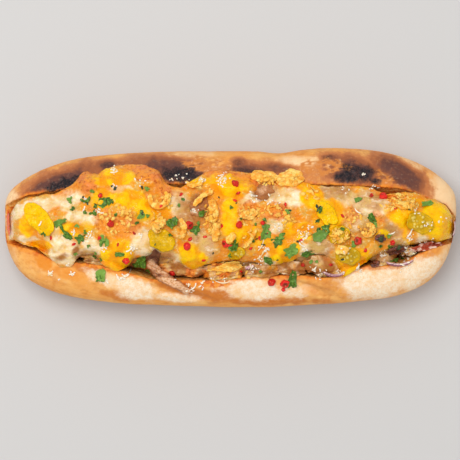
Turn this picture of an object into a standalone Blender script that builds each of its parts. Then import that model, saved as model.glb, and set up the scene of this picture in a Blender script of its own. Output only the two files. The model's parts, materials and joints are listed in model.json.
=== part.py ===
"""A loaded hot dog: a long split roll with a sausage, melted cheese and toppings.

Metres, +Z up. The origin is the middle of the footprint, on the surface that the
roll rests on. +X runs along the roll and +Y points to its far side. The sizes and
places below are millimetres, and MM turns them into metres.
"""

import math
import random

import bmesh
import bpy
from mathutils import Matrix, Vector, noise
from mathutils.bvhtree import BVHTree

MM = 0.001
SEED = 7

# The roll: half sizes, and how its outline tapers to each end
HALF_LENGTH = 120.0
HALF_WIDTH = 41.3
LEFT_TAPER = (3.05, 3.0)
RIGHT_TAPER = (5.2, 2.2)
HEIGHT_TAPER = (3.6, 2.2)
WIDEST_Z = 20.0
RISE = 27.5
DROP = 21.3
ROUNDNESS = 2.7
AXIS_Y = -0.55
AXIS_SHIFT_RIGHT = 1.6
AXIS_SHIFT_FROM = 20.0
AXIS_SHIFT_OVER = 60.0
TIP_SHIFT_LEFT = 5.0
TIP_SHIFT_RIGHT = 9.0
TIP_POWER = 24
# (x, spread, amount) of each swelling of an edge of the outline
FAR_SWELLINGS = ((56.0, 24.0, 1.0), (26.0, 9.0, -1.3), (-85.0, 18.0, 0.6))
NEAR_SWELLINGS = ((8.0, 26.0, 0.6), (-85.0, 20.0, 0.5))
BREAD_AROUND = 40
BREAD_RINGS = 40

# Splits that opened in the crust, as grooves: (x1, y1, x2, y2)
CRUST_SPLITS = (
    (-45.0, -30.5, -9.0, -38.0),
    (31.0, -28.5, 58.0, -37.5),
    (5.0, 30.5, 26.0, 35.0),
    (72.0, 34.0, 90.0, 25.0),
)
SPLIT_DEPTH = 1.4
SPLIT_HALF_WIDTH = 2.6
SPLIT_AROUND = 8
SPLIT_RINGS = 8
CRUST_UNEVENNESS = 0.5
CRUST_UNEVEN_SIZE = 13.0

# The cut: (x, y) of its two lips, seen from above
FAR_LIP = (
    (-122, 11), (-114, 14.5), (-106, 16.7), (-89, 19.3), (-69, 21.5), (-24, 22.5),
    (37, 22), (77, 21), (90, 19.9), (103, 14.8), (113, 12), (117, 8), (122, 3),
)
NEAR_LIP = (
    (-122, -8), (-109, -10.3), (-103, -12), (-95, -15.5), (-80, -18.3), (-69, -19.2),
    (-53, -23.6), (-37, -27.2), (-16, -27.8), (21, -25), (37, -25), (48, -26.2),
    (63, -22.5), (73, -19.8), (88, -19.2), (100, -13.2), (111, -9.3), (122, -8),
)
CUT_FLOOR = ((-122, 20), (-100, 14.5), (-80, 13.5), (80, 13.5), (100, 14.5), (122, 20))
NEAR_WALL_POWER = 6.0
FAR_WALL_POWER = 2.3
LIP_EDGE = 2.5
CUTTER_TOP = 80.0
CUTTER_REACH = 124.0
CUTTER_COLUMNS = 44
CUTTER_ROWS = 14

# The sausage: its line from above, which is also the line of the cut's floor
SAUSAGE_LINE = (
    (-122, 2.5), (-108, 2.5), (-96, 0.5), (-80, -1.5), (-66, -2.8), (-50, -7), (-34, -9.9),
    (-12, -9.9), (20, -7.9), (34, -7.7), (47, -8.4), (60, -5.6), (72, -3), (82, -2), (96, 0),
    (110, 1.5), (122, -2),
)
SAUSAGE_RADIUS = 15.0
SAUSAGE_HALF_LENGTH = 96.0
SAUSAGE_Z = 29.7
SAUSAGE_TAPER = (12.0, 2.1)
SAUSAGE_AROUND = 18
SAUSAGE_RINGS = 26
SAUSAGE_UNEVENNESS = 0.012
SAUSAGE_UNEVEN_SIZE = 15.0
# How much wider than the sausage the cheese bends over it, on its far and near side
HOOD_FAR = 3.5
HOOD_NEAR = 1.2

# The melted cheese: (x, y) of its two edges, seen from above
MELT_FAR = (
    (-118, 6), (-111, 12.5), (-101, 15.5), (-89, 18), (-82, 23), (-76, 29), (-70, 28),
    (-64, 31.5), (-52, 33), (-45, 32.8), (-38, 29.5), (-33, 23), (-27, 20.5), (-21, 24),
    (-13, 28.5), (-7, 30), (6, 29), (13, 28), (20, 25.5), (32, 25.2), (40, 23.4),
    (50, 20.5), (61, 21), (72, 20.2), (83, 15.8), (96, 15.6), (104, 12.8), (112, 9.8),
    (118, 3),
)
MELT_NEAR = (
    (-118, -5.2), (-110, -7), (-102, -9.6), (-98, -12), (-92, -18.5), (-88, -20.8), (-84, -20.5),
    (-79, -15.5), (-72, -14.4), (-66, -20), (-60, -22.8), (-54, -20.5), (-50, -16),
    (-42, -14.8), (-34, -16), (-27, -18), (-21, -22), (-14, -20), (-3, -17.8),
    (8, -17.8), (22, -20), (31, -18), (38, -14.8), (48, -14), (54, -18), (59, -25.8),
    (65, -22.5), (70, -18.5), (77, -14.5), (84, -10.4), (96, -8.8), (108, -7), (118, -5),
)
MELT_SKIN = 2.2
MELT_THINNEST = 1.5
MELT_RIM = 0.8
MELT_CROWN = 4.0
MELT_GRAIN = 0.5
MELT_GRAIN_SIZE = 5.0
MELT_EDGE_POWER = 8
MELT_END_POWER = 16
MELT_HALF_LENGTH = 117.0
MELT_COLUMNS = 54
MELT_ROWS = 13
# The share of each spacing that is even: the rest crowds towards the edges
MELT_EVEN_COLUMNS = 0.7
MELT_EVEN_ROWS = 0.4
# Lumps, drips and hollows of the melt: (x, y, reach in x, reach in y, height)
MELT_LUMPS = (
    (-75.0, 24.0, 4.5, 5.0, 3.2), (-64.5, 25.0, 7.0, 6.0, 2.6), (-43.0, 25.5, 11.0, 6.5, 4.2),
    (-53.0, 14.0, 9.0, 8.0, 1.8), (-1.0, 23.0, 13.0, 6.0, 3.6), (29.0, 22.0, 8.0, 4.0, 1.6),
    (43.0, 13.5, 8.0, 6.0, 1.4), (23.0, 8.0, 5.0, 5.0, 1.6), (-75.5, 4.0, 8.0, 4.5, 1.4),
    (-42.5, -8.0, 10.0, 6.0, 1.6), (-89.0, -13.0, 7.0, 6.5, 2.6), (-59.5, -15.5, 6.0, 7.0, 1.8),
    (-20.0, -15.0, 6.5, 7.0, 2.2), (5.0, -3.0, 7.0, 5.0, 1.4), (29.0, -14.0, 8.0, 5.0, 1.8),
    (60.0, -17.0, 5.0, 8.0, 1.2), (71.0, -15.5, 5.0, 4.0, 1.6), (90.0, 8.0, 8.0, 5.0, 1.4),
    (109.0, 2.5, 8.0, 8.0, 2.6), (-110.0, -0.5, 5.0, 6.0, 1.6), (66.0, 14.0, 13.0, 6.0, -0.8),
    (-27.0, 12.0, 7.0, 8.0, -1.8), (-15.0, 12.0, 6.0, 7.0, -1.6), (17.5, 17.0, 5.0, 6.0, -1.6),
    (82.0, -4.0, 8.0, 5.0, -1.2), (-88.0, 10.0, 10.0, 6.0, -0.8), (58.0, 1.0, 8.0, 6.0, 0.8),
)

# Draped pieces: (x, y, length, width, turn in degrees)
PICKLES = (
    (-100.0, 4.5, 21.0, 11.0, -48.0), (-36.0, -6.5, 15.0, 11.0, -35.0),
    (3.0, -13.5, 9.0, 7.0, 20.0), (49.5, 7.5, 15.0, 9.0, -50.0), (56.5, -3.8, 11.0, 9.0, 30.0),
    (61.0, -14.5, 13.0, 10.0, -15.0), (99.0, 2.5, 15.0, 11.0, -20.0),
)
PICKLE_THICKNESS = 2.2
PICKLE_UNEVENNESS = 0.12
BACON = ((-16.0, 11.5, 12.0, 9.0, 70.0), (17.5, 19.0, 11.0, 8.0, 50.0))
BACON_THICKNESS = 1.6
BACON_UNEVENNESS = 0.3
ONION_CHIP = (-3.0, -21.0, 18.0, 8.0, 9.0)
CHIP_THICKNESS = 1.5
CHIP_UNEVENNESS = 0.25
BROWNED_ONIONS = (
    (78.0, -5.5, 6.0, 3.6, -10.0), (75.5, -19.0, 5.0, 3.6, 30.0), (87.0, -12.0, 11.0, 4.2, 15.0),
)
BROWNED_THICKNESS = 1.4
BROWNED_UNEVENNESS = 0.3
BROWNED_CELLS = 3
DRAPE_CELLS = 4
DRAPE_RIM = 0.75

# Strips along an arc: (x, y, length, width, turn and bend in degrees)
FRIED_ONIONS = (
    (-37.0, 14.5, 19.0, 3.0, 10.0, 250.0), (-37.5, 2.0, 8.0, 5.0, 40.0, 40.0),
    (-18.5, 23.5, 12.0, 2.2, 15.0, 150.0), (-14.5, 15.5, 13.0, 2.6, 38.0, -60.0),
    (-9.3, 8.5, 12.0, 4.2, 96.0, 50.0), (-7.5, -2.5, 10.0, 4.0, 84.0, -50.0),
    (-25.0, -0.8, 11.0, 2.8, 92.0, 60.0), (0.0, -5.5, 6.0, 4.0, 50.0, 30.0),
    (10.5, -5.5, 12.0, 2.0, 60.0, 35.0), (9.5, 7.5, 9.0, 4.5, 10.0, 70.0),
    (17.0, 27.5, 15.0, 2.6, 0.0, 190.0), (31.5, 27.0, 13.0, 4.4, -8.0, 130.0),
    (57.5, -11.5, 7.0, 4.0, 0.0, 30.0), (71.5, -1.5, 13.0, 2.6, 60.0, 270.0),
    (90.0, 12.5, 12.0, 4.4, -12.0, 60.0),
)
FRIED_THICKNESS = 1.9
FRIED_CELLS = (9, 1)
FRIED_CURL = 1.2
RED_ONIONS = (
    (53.5, -24.4, 11.0, 1.6, -4.0, 60.0), (88.5, -18.6, 15.0, 1.6, 4.0, 60.0),
    (10.0, -20.8, 5.0, 2.0, 20.0, 30.0), (118.0, -0.6, 8.0, 1.6, 84.0, 60.0),
)
RED_THICKNESS = 1.3
RED_CELLS = (8, 1)
RED_CURL = 0.2
RED_SPREAD = 2.0
# The long rasher: its line over the near lip, from above
RASHER_LINE = ((-37.5, -12.5), (-41.0, -19.5), (-33.0, -27.0), (-21.5, -33.5))
RASHER_WIDTH = 5.0
RASHER_CELLS = (13, 2)
RASHER_CURL = 0.6
RASHER_SPREAD = 3.2
STRIP_TIP = 0.45
STRIP_UNEVENNESS = 0.25

# Herbs: (x, y, length, width, turn)
LEAVES = (
    (-65.0, 13.5, 5.5, 4.5, 20.0), (-78.0, -5.6, 4.5, 3.5, 35.0), (-65.5, -6.6, 5.5, 4.5, 80.0),
    (-88.5, 2.6, 7.0, 3.2, 25.0), (-85.0, -4.2, 7.0, 3.0, -30.0), (-46.5, -17.5, 6.5, 5.5, 60.0),
    (-30.0, 3.0, 5.5, 4.5, 70.0), (-17.8, -1.0, 4.5, 3.5, 60.0), (-16.0, 7.0, 5.0, 2.4, 30.0),
    (2.0, -9.5, 7.0, 3.8, 70.0), (18.0, -2.9, 6.5, 5.0, 80.0), (24.6, -7.2, 5.5, 4.0, 25.0),
    (32.0, -11.4, 7.5, 5.0, 20.0), (40.5, -13.5, 6.0, 3.6, 0.0), (47.5, -3.0, 8.0, 5.0, 45.0),
    (20.0, -17.0, 6.0, 3.4, -70.0), (74.0, 5.5, 6.0, 3.0, -50.0), (103.0, 12.0, 6.0, 2.6, 15.0),
    (-83.5, 14.5, 3.4, 2.6, 80.0), (-71.0, 7.5, 4.0, 3.0, 60.0), (-57.5, -14.0, 5.0, 2.0, 0.0),
    (-46.0, 6.5, 4.0, 3.0, 70.0), (29.9, 8.2, 3.4, 2.2, 30.0), (66.5, 14.5, 4.0, 2.0, 20.0),
)
CRUST_LEAVES = ((-67.6, -24.6, 7.0, 4.5, 85.0), (32.3, -27.6, 8.5, 4.0, 82.0))
LEAF_THICKNESS = 0.9
LEAF_SINK = 0.45
LEAF_FOLDS = (0.4, 0.9)
LEAF_POINT = 0.35
LEAF_WAVE = 0.25
LEAF_CELLS = 2
# Peppercorns: (x, y, radius), of which a part of the radius is sunk
PEPPERCORN_SINK = 0.45
PEPPERCORN_AROUND = 7
PEPPERCORN_RINGS = 5
PEPPERCORNS = (
    (-21.0, 1.2, 2.3), (-22.5, -9.8, 2.1), (-54.3, -17.5, 1.7), (-2.6, -10.5, 1.9),
    (2.4, 22.5, 1.9), (4.5, 1.3, 1.9), (66.0, -8.0, 2.2), (80.3, 14.5, 2.3), (-62.3, 1.9, 1.7),
    (-67.6, 17.0, 1.4), (16.7, 2.4, 1.4), (38.0, -12.5, 1.3), (84.5, -7.5, 1.5),
)
CRUST_PEPPERCORNS = ((21.5, -28.9, 2.2), (28.2, -30.0, 2.5))
# Grated shreds: (x, y, length, turn)
SHREDS = (
    (-60.7, 28.5, 5.0, 10.0), (-5.0, 24.5, 7.0, 25.0), (-67.6, 8.0, 5.0, -20.0),
    (-52.5, -11.5, 5.0, 35.0), (39.5, -4.5, 6.0, 60.0), (37.0, -9.0, 4.5, -35.0),
    (15.6, -14.6, 6.0, 50.0), (84.0, -3.0, 4.5, 20.0), (93.5, -3.0, 6.0, 60.0),
)
SHRED_WIDTH = 1.0
SHRED_SINK = 0.35

GAP = 0.6
SHARP_ANGLE = 50.0
SLOPE_STEP = 1.5
FEELERS = 8
SMALL_CLEARANCE = 0.5
NEIGHBOURHOOD = 1.4
# How far inside each lip the melted cheese already stands at the lip's height
NEAR_LIP_BRIDGE = 3.0
FAR_LIP_BRIDGE = 5.5
LIP_MARGIN = 0.9

# Each finish: colour, roughness
FINISHES = {
    "crust": ((0.72, 0.36, 0.13), 0.62),
    "sausage": ((0.42, 0.15, 0.06), 0.38),
    "melt": ((0.93, 0.56, 0.13), 0.33),
    "pickle": ((0.62, 0.52, 0.04), 0.30),
    "bacon": ((0.47, 0.19, 0.12), 0.40),
    "fried_onion": ((0.86, 0.48, 0.13), 0.55),
    "red_onion": ((0.46, 0.14, 0.26), 0.35),
    "browned_onion": ((0.13, 0.05, 0.04), 0.45),
}


def clear_scene():
    for obj in list(bpy.data.objects):
        bpy.data.objects.remove(obj, do_unlink=True)


def new_collection(name):
    collection = bpy.data.collections.new(name)
    bpy.context.scene.collection.children.link(collection)
    return collection


def finish_material(name):
    """The plain material of one finish, made once."""
    material = bpy.data.materials.get(name)
    if material:
        return material
    colour, roughness = FINISHES[name]
    material = bpy.data.materials.new(name)
    material.use_nodes = True
    shader = material.node_tree.nodes["Principled BSDF"]
    shader.inputs["Base Color"].default_value = (*colour, 1.0)
    shader.inputs["Roughness"].default_value = roughness
    shader.inputs["Metallic"].default_value = 0.0
    material.diffuse_color = (*colour, 1.0)
    return material


def add_object(name, bm, finish, collection):
    """Turns a bmesh in millimetres into an object with smooth shading."""
    bmesh.ops.scale(bm, vec=(MM, MM, MM), verts=bm.verts)
    bmesh.ops.recalc_face_normals(bm, faces=bm.faces)
    mesh = bpy.data.meshes.new(name)
    bm.to_mesh(mesh)
    bm.free()
    mesh.shade_smooth()
    mesh.set_sharp_from_angle(angle=math.radians(SHARP_ANGLE))
    mesh.materials.append(finish_material(finish))
    obj = bpy.data.objects.new(name, mesh)
    collection.objects.link(obj)
    return obj


def smooth_through(points, x):
    """The value at x of a smooth curve through the points, without overshoot."""
    if x <= points[0][0]:
        return points[0][1]
    if x >= points[-1][0]:
        return points[-1][1]
    i = max(k for k in range(len(points) - 1) if points[k][0] <= x)

    def slope(k):
        if k in (0, len(points) - 1):
            return 0.0
        left = (points[k][1] - points[k - 1][1]) / (points[k][0] - points[k - 1][0])
        right = (points[k + 1][1] - points[k][1]) / (points[k + 1][0] - points[k][0])
        return 2.0 * left * right / (left + right) if left * right > 0.0 else 0.0

    width = points[i + 1][0] - points[i][0]
    t = (x - points[i][0]) / width
    rise = points[i + 1][1] - points[i][1]
    start, end = slope(i) * width, slope(i + 1) * width
    return points[i][1] + t * (start + t * (3 * rise - 2 * start - end + t * (start + end - 2 * rise)))


def swellings(table, x):
    return sum(amount * math.exp(-(((x - at) / spread) ** 2)) for at, spread, amount in table)


def taper(x, shape):
    """From 1 along most of the roll to 0 at its tips."""
    power, root = shape
    reach = min(1.0, abs(x) / HALF_LENGTH)
    return (1.0 - reach**power) ** (1.0 / root)


def axis_y(x):
    """The middle of the roll's outline, which turns a little at both tips."""
    reach = min(1.0, abs(x) / HALF_LENGTH)
    right = min(1.0, max(0.0, (x - AXIS_SHIFT_FROM) / AXIS_SHIFT_OVER))
    tip = TIP_SHIFT_RIGHT if x > 0 else TIP_SHIFT_LEFT
    return AXIS_Y + AXIS_SHIFT_RIGHT * right * right * (3.0 - 2.0 * right) + tip * reach**TIP_POWER


def half_width(x, side):
    """From the axis to the far (side 1) or near (side -1) edge of the outline."""
    shape = RIGHT_TAPER if x > 0 else LEFT_TAPER
    table = FAR_SWELLINGS if side > 0 else NEAR_SWELLINGS
    return (HALF_WIDTH + swellings(table, x)) * taper(x, shape)


def crust_relief(x, y, reach):
    """Unevenness of the upper crust, fading out at the outline."""
    place = Vector((x / CRUST_UNEVEN_SIZE, y / CRUST_UNEVEN_SIZE, 3.0))
    return CRUST_UNEVENNESS * noise.noise(place) * max(0.0, 1.0 - reach**4)


def dome(x, y):
    """Height of the uncut roll's upper skin."""
    offset = y - axis_y(x)
    width = half_width(x, 1 if offset > 0 else -1)
    reach = min(1.0, abs(offset) / max(width, 0.001))
    height = RISE * taper(x, HEIGHT_TAPER) * (1.0 - reach**ROUNDNESS) ** (1.0 / ROUNDNESS)
    return WIDEST_Z + height + crust_relief(x, y, reach)


def cut_surface(x, y):
    """Height of the cut between the lips: a round floor with a steep near wall."""
    middle = smooth_through(SAUSAGE_LINE, x)
    near = y < middle
    lip = smooth_through(NEAR_LIP if near else FAR_LIP, x)
    power = NEAR_WALL_POWER if near else FAR_WALL_POWER
    reach = min(1.0, abs(y - middle) / abs(lip - middle))
    floor = smooth_through(CUT_FLOOR, x)
    return floor + (dome(x, lip) - LIP_EDGE - floor) * reach**power


def sausage_radius(x):
    power, root = SAUSAGE_TAPER
    reach = min(1.0, abs(x) / SAUSAGE_HALF_LENGTH)
    return SAUSAGE_RADIUS * (1.0 - reach**power) ** (1.0 / root)


def sausage_cover(x, y):
    """Height of a hood over the sausage, a little wider than it."""
    radius = sausage_radius(x)
    if radius <= 0.0:
        return 0.0
    offset = y - smooth_through(SAUSAGE_LINE, x)
    hood = radius + (HOOD_FAR if offset > 0 else HOOD_NEAR)
    if abs(offset) >= hood:
        return 0.0
    return SAUSAGE_Z + radius * math.sqrt(1.0 - (offset / hood) ** 2)


def bed(x, y):
    """Height that the melted cheese keeps above: the roll, its cut and the sausage."""
    near_lip, far_lip = smooth_through(NEAR_LIP, x), smooth_through(FAR_LIP, x)
    highest = 0.0
    if -NEAR_LIP_BRIDGE < near_lip - y < NEIGHBOURHOOD:
        highest = dome(x, near_lip) + LIP_MARGIN
    if -NEIGHBOURHOOD < far_lip - y < FAR_LIP_BRIDGE:
        highest = dome(x, far_lip) + LIP_MARGIN
    for dx in (-NEIGHBOURHOOD, 0.0, NEIGHBOURHOOD):
        for dy in (-NEIGHBOURHOOD, 0.0, NEIGHBOURHOOD):
            px, py = x + dx, y + dy
            if smooth_through(NEAR_LIP, px) < py < smooth_through(FAR_LIP, px):
                here = max(cut_surface(px, py), sausage_cover(px, py))
            else:
                here = dome(px, py)
            highest = max(highest, here)
    return highest + GAP


def melt_height(x, y):
    """Height of the melted cheese: the uncut roll's dome, a crown and the lumps."""
    near, far = smooth_through(MELT_NEAR, x), smooth_through(MELT_FAR, x)
    across = (2.0 * y - near - far) / (far - near)
    height = dome(x, y) + MELT_SKIN + MELT_CROWN * (1.0 - across * across)
    for at_x, at_y, reach_x, reach_y, rise in MELT_LUMPS:
        height += rise * math.exp(-(((x - at_x) / reach_x) ** 2) - ((y - at_y) / reach_y) ** 2)
    return height + MELT_GRAIN * noise.noise(Vector((x / MELT_GRAIN_SIZE, y / MELT_GRAIN_SIZE, 9.0)))


def sphere_skin(around, rings, place):
    """A closed skin from a sphere: place(u, angle) puts each point, u from -1 to 1."""
    bm = bmesh.new()
    turn = Matrix.Rotation(math.pi / 2.0, 4, "Y")
    bmesh.ops.create_uvsphere(bm, u_segments=around, v_segments=rings, radius=1.0, matrix=turn)
    for vert in bm.verts:
        u = min(1.0, max(-1.0, vert.co.x))
        vert.co = place(u, math.atan2(vert.co.z, vert.co.y))
    return bm


def slab(columns, rows, place):
    """A closed slab from a grid: place(a, b, side) puts each point, side -1 or 1.

    Both faces are split into triangles alike, so that a thin slab never crosses itself.
    """
    bm = bmesh.new()
    bmesh.ops.create_grid(bm, x_segments=columns, y_segments=rows, size=1.0)
    bmesh.ops.triangulate(bm, faces=list(bm.faces))
    lower = list(bm.verts)
    made = bmesh.ops.extrude_face_region(bm, geom=list(bm.faces), use_keep_orig=True)
    upper = [item for item in made["geom"] if isinstance(item, bmesh.types.BMVert)]
    for verts, side in ((lower, -1), (upper, 1)):
        for vert in verts:
            vert.co = place(vert.co.x, vert.co.y, side)
    return bm


def signed_power(value, power):
    return math.copysign(abs(value) ** power, value)


def roll_point(u, angle):
    """A point of the roll's outer skin."""
    x = HALF_LENGTH * u
    across, up = math.cos(angle), math.sin(angle)
    side = 1 if across > 0 else -1
    power = 2.0 / ROUNDNESS
    reach = abs(across) ** power
    y = axis_y(x) + side * half_width(x, side) * reach
    height = taper(x, HEIGHT_TAPER) * signed_power(up, power)
    if up < 0:
        return Vector((x, y, WIDEST_Z + DROP * height))
    return Vector((x, y, WIDEST_Z + RISE * height + crust_relief(x, y, reach)))


def flatten_base(bm):
    """Cuts the skin off at the table and closes it with one flat face."""
    geometry = list(bm.verts) + list(bm.edges) + list(bm.faces)
    bmesh.ops.bisect_plane(
        bm, geom=geometry, plane_co=(0, 0, 0), plane_no=(0, 0, 1), clear_inner=True
    )
    rim = [edge for edge in bm.edges if edge.is_boundary]
    bmesh.ops.holes_fill(bm, edges=rim, sides=0)


def cut_point(a, b, side):
    x = CUTTER_REACH * a
    near, far = smooth_through(NEAR_LIP, x), smooth_through(FAR_LIP, x)
    middle = smooth_through(SAUSAGE_LINE, x)
    reach = math.sin(b * math.pi / 2.0)
    y = middle + reach * ((far - middle) if reach > 0 else (middle - near))
    return Vector((x, y, cut_surface(x, y) if side < 0 else CUTTER_TOP))


def apply_boolean(obj, operation, other=None, collection=None):
    """Applies one Boolean to the object's mesh."""
    modifier = obj.modifiers.new(operation.title(), "BOOLEAN")
    modifier.operation = operation
    modifier.solver = "EXACT"
    if collection:
        modifier.operand_type = "COLLECTION"
        modifier.collection = collection
    else:
        modifier.object = other
    graph = bpy.context.evaluated_depsgraph_get()
    old = obj.data
    obj.data = bpy.data.meshes.new_from_object(obj.evaluated_get(graph))
    obj.data.name = obj.name
    obj.modifiers.remove(modifier)
    bpy.data.meshes.remove(old)


def split_skin(line):
    """A long thin lens that follows the crust along one split."""
    x1, y1, x2, y2 = line
    length = math.hypot(x2 - x1, y2 - y1)
    across_x, across_y = (y1 - y2) / length, (x2 - x1) / length

    def place(u, angle):
        fullness = math.sqrt(1.0 - u * u)
        sideways = SPLIT_HALF_WIDTH * fullness * math.cos(angle)
        t = (u + 1.0) / 2.0
        x = x1 + t * (x2 - x1) + sideways * across_x
        y = y1 + t * (y2 - y1) + sideways * across_y
        return Vector((x, y, dome(x, y) + SPLIT_DEPTH * fullness * math.sin(angle)))

    return sphere_skin(SPLIT_AROUND, SPLIT_RINGS, place)


def make_roll(parts, cutters):
    bm = sphere_skin(BREAD_AROUND, BREAD_RINGS, roll_point)
    flatten_base(bm)
    roll = add_object("bread_roll", bm, "crust", parts)
    skins = {"cut_cutter": slab(CUTTER_COLUMNS, CUTTER_ROWS, cut_point)}
    for number, line in enumerate(CRUST_SPLITS, 1):
        skins[f"split_cutter_{number}"] = split_skin(line)
    for name, skin in skins.items():
        cutter = add_object(name, skin, "crust", cutters)
        cutter.hide_render = True
        cutter.display_type = "WIRE"
        apply_boolean(roll, "DIFFERENCE", other=cutter)
    return roll


def sausage_point(u, angle):
    x = SAUSAGE_HALF_LENGTH * u
    uneven = noise.noise(Vector((x / SAUSAGE_UNEVEN_SIZE, angle, 1.0)))
    radius = sausage_radius(x) * (1.0 + SAUSAGE_UNEVENNESS * uneven)
    y = smooth_through(SAUSAGE_LINE, x) + radius * math.cos(angle)
    return Vector((x, y, SAUSAGE_Z + radius * math.sin(angle)))


def crowded(t, even):
    """The spacing t from -1 to 1, with only a share of it even and the rest near the ends."""
    return even * t + (1.0 - even) * math.sin(t * math.pi / 2.0)


def melt_point(a, b, side):
    x = MELT_HALF_LENGTH * crowded(a, MELT_EVEN_COLUMNS)
    across = crowded(b, MELT_EVEN_ROWS)
    near, far = smooth_through(MELT_NEAR, x), smooth_through(MELT_FAR, x)
    y = near + (far - near) * (across + 1.0) / 2.0
    low = bed(x, y)
    if side < 0:
        return Vector((x, y, low))
    fullness = math.sqrt(max(0.0, 1.0 - abs(across) ** MELT_EDGE_POWER))
    fullness *= math.sqrt(max(0.0, 1.0 - abs(a) ** MELT_END_POWER))
    high = max(melt_height(x, y), low + MELT_THINNEST)
    return Vector((x, y, low + MELT_RIM + (high - low - MELT_RIM) * fullness))


class Ground:
    """The solids made so far, and how high they stand at a place."""

    def __init__(self):
        self.trees = []

    def add(self, obj):
        points = [obj.matrix_world @ vert.co / MM for vert in obj.data.vertices]
        faces = [tuple(face.vertices) for face in obj.data.polygons]
        self.trees.append(BVHTree.FromPolygons(points, faces))

    def height(self, x, y, spread=0.0):
        """The highest point under a small round patch about the place."""
        highest = 0.0
        places = [(x, y)]
        for k in range(FEELERS):
            angle = 2.0 * math.pi * k / FEELERS
            places.append((x + spread * math.cos(angle), y + spread * math.sin(angle)))
        for px, py in places:
            for tree in self.trees:
                hit = tree.ray_cast(Vector((px, py, CUTTER_TOP)), Vector((0, 0, -1)))[0]
                if hit:
                    highest = max(highest, hit.z)
        return highest

    def nearest(self, point):
        """The distance from a point to the nearest solid."""
        return min(tree.find_nearest(point)[3] for tree in self.trees)


def disc(a, b):
    """The unit square's point (a, b) moved into the unit disc."""
    return a * math.sqrt(1.0 - b * b / 2.0), b * math.sqrt(1.0 - a * a / 2.0)


def drape_piece(spec, thickness, cells, ground, unevenness):
    """A rounded slice lying on the solids below it, with an uneven edge."""
    x, y, length, width, turn = spec
    cosine, sine = math.cos(math.radians(turn)), math.sin(math.radians(turn))

    def place(a, b, side):
        p, q = disc(a, b)
        edge = 1.0 + unevenness * noise.noise(Vector((x + 2.0 * p, y + 2.0 * q, 5.0)))
        p, q = p * edge * length / 2.0, q * edge * width / 2.0
        px, py = x + p * cosine - q * sine, y + p * sine + q * cosine
        low = ground.height(px, py, NEIGHBOURHOOD) + GAP
        rim = DRAPE_RIM if max(abs(a), abs(b)) > 0.99 else 1.0
        middle = low + thickness / 2.0
        return Vector((px, py, middle + side * rim * thickness / 2.0))

    return slab(cells, cells, place)


def arc_line(spec):
    """The line of a strip bent round an arc about its own middle: t from -1 to 1."""
    x, y, length, _width, turn, bend = spec
    half, turned = math.radians(bend) / 2.0, math.radians(turn)
    radius = length / 2.0 / half

    def line(t):
        along = radius * math.sin(t * half)
        sideways = radius * (0.5 + 0.5 * math.cos(half) - math.cos(t * half))
        px = x + along * math.cos(turned) - sideways * math.sin(turned)
        py = y + along * math.sin(turned) + sideways * math.cos(turned)
        return px, py, turned + t * half

    return line


def rasher_line(t):
    """The line of the long rasher, t from -1 to 1, with its heading."""

    def at(s):
        place = min(max(s, 0.0), 1.0) * (len(RASHER_LINE) - 1)
        knots_x = [(k, point[0]) for k, point in enumerate(RASHER_LINE)]
        knots_y = [(k, point[1]) for k, point in enumerate(RASHER_LINE)]
        return smooth_through(knots_x, place), smooth_through(knots_y, place)

    s = (t + 1.0) / 2.0
    (x1, y1), (x2, y2) = at(s - 0.05), at(s + 0.05)
    x, y = at(s)
    return x, y, math.atan2(y2 - y1, x2 - x1)


def strip(line, width, thickness, cells, ground, curl, spread=NEIGHBOURHOOD):
    """A strip along a line, lying on the solids below it, with a wavy height."""

    def place(a, b, side):
        px, py, heading = line(a)
        narrow = width / 2.0 * (1.0 - (1.0 - STRIP_TIP) * abs(a) ** 4)
        narrow *= 1.0 + STRIP_UNEVENNESS * noise.noise(Vector((px / 3.0, py / 3.0, b)))
        px, py = px - b * narrow * math.sin(heading), py + b * narrow * math.cos(heading)
        low = ground.height(px, py, spread) + GAP
        lift = curl * (0.5 + 0.5 * noise.noise(Vector((px / 4.0, py / 4.0, 7.0))))
        return Vector((px, py, low + lift + (side + 1) * thickness / 2.0))

    return slab(*cells, place)


def tilted(bm, x, y, z, turn, ground):
    """Turns a small shape about Z, leans it with the surface and moves it there."""
    step = SLOPE_STEP
    slope_x = (ground.height(x + step, y) - ground.height(x - step, y)) / (2.0 * step)
    slope_y = (ground.height(x, y + step) - ground.height(x, y - step)) / (2.0 * step)
    normal = Vector((-slope_x, -slope_y, 1.0)).normalized()
    lean = Vector((0.0, 0.0, 1.0)).rotation_difference(normal).to_matrix().to_4x4()
    matrix = Matrix.Translation((x, y, z)) @ lean @ Matrix.Rotation(math.radians(turn), 4, "Z")
    bmesh.ops.transform(bm, matrix=matrix, verts=bm.verts)
    return bm


def leaf(spec, ground, draw):
    """A thin wavy leaf that is sunk a little into what it lies on."""
    x, y, length, width, turn = spec
    fold = draw.uniform(*LEAF_FOLDS)

    def place(a, b, side):
        p, q = disc(a, b)
        point = 1.0 - LEAF_POINT * p
        height = fold * 0.6 * (abs(q) - 0.4) + LEAF_WAVE * math.sin(3.0 * p)
        return Vector((p * length / 2.0, q * point * width / 2.0, height + side * LEAF_THICKNESS / 2.0))

    bm = slab(LEAF_CELLS, LEAF_CELLS, place)
    return tilted(bm, x, y, ground.height(x, y) + LEAF_THICKNESS / 2.0 - LEAF_SINK, turn, ground)


def peppercorn(spec, ground):
    x, y, radius = spec
    bm = bmesh.new()
    bmesh.ops.create_uvsphere(
        bm, u_segments=PEPPERCORN_AROUND, v_segments=PEPPERCORN_RINGS, radius=radius
    )
    return tilted(bm, x, y, ground.height(x, y) + (1.0 - PEPPERCORN_SINK) * radius, 0.0, ground)


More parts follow.
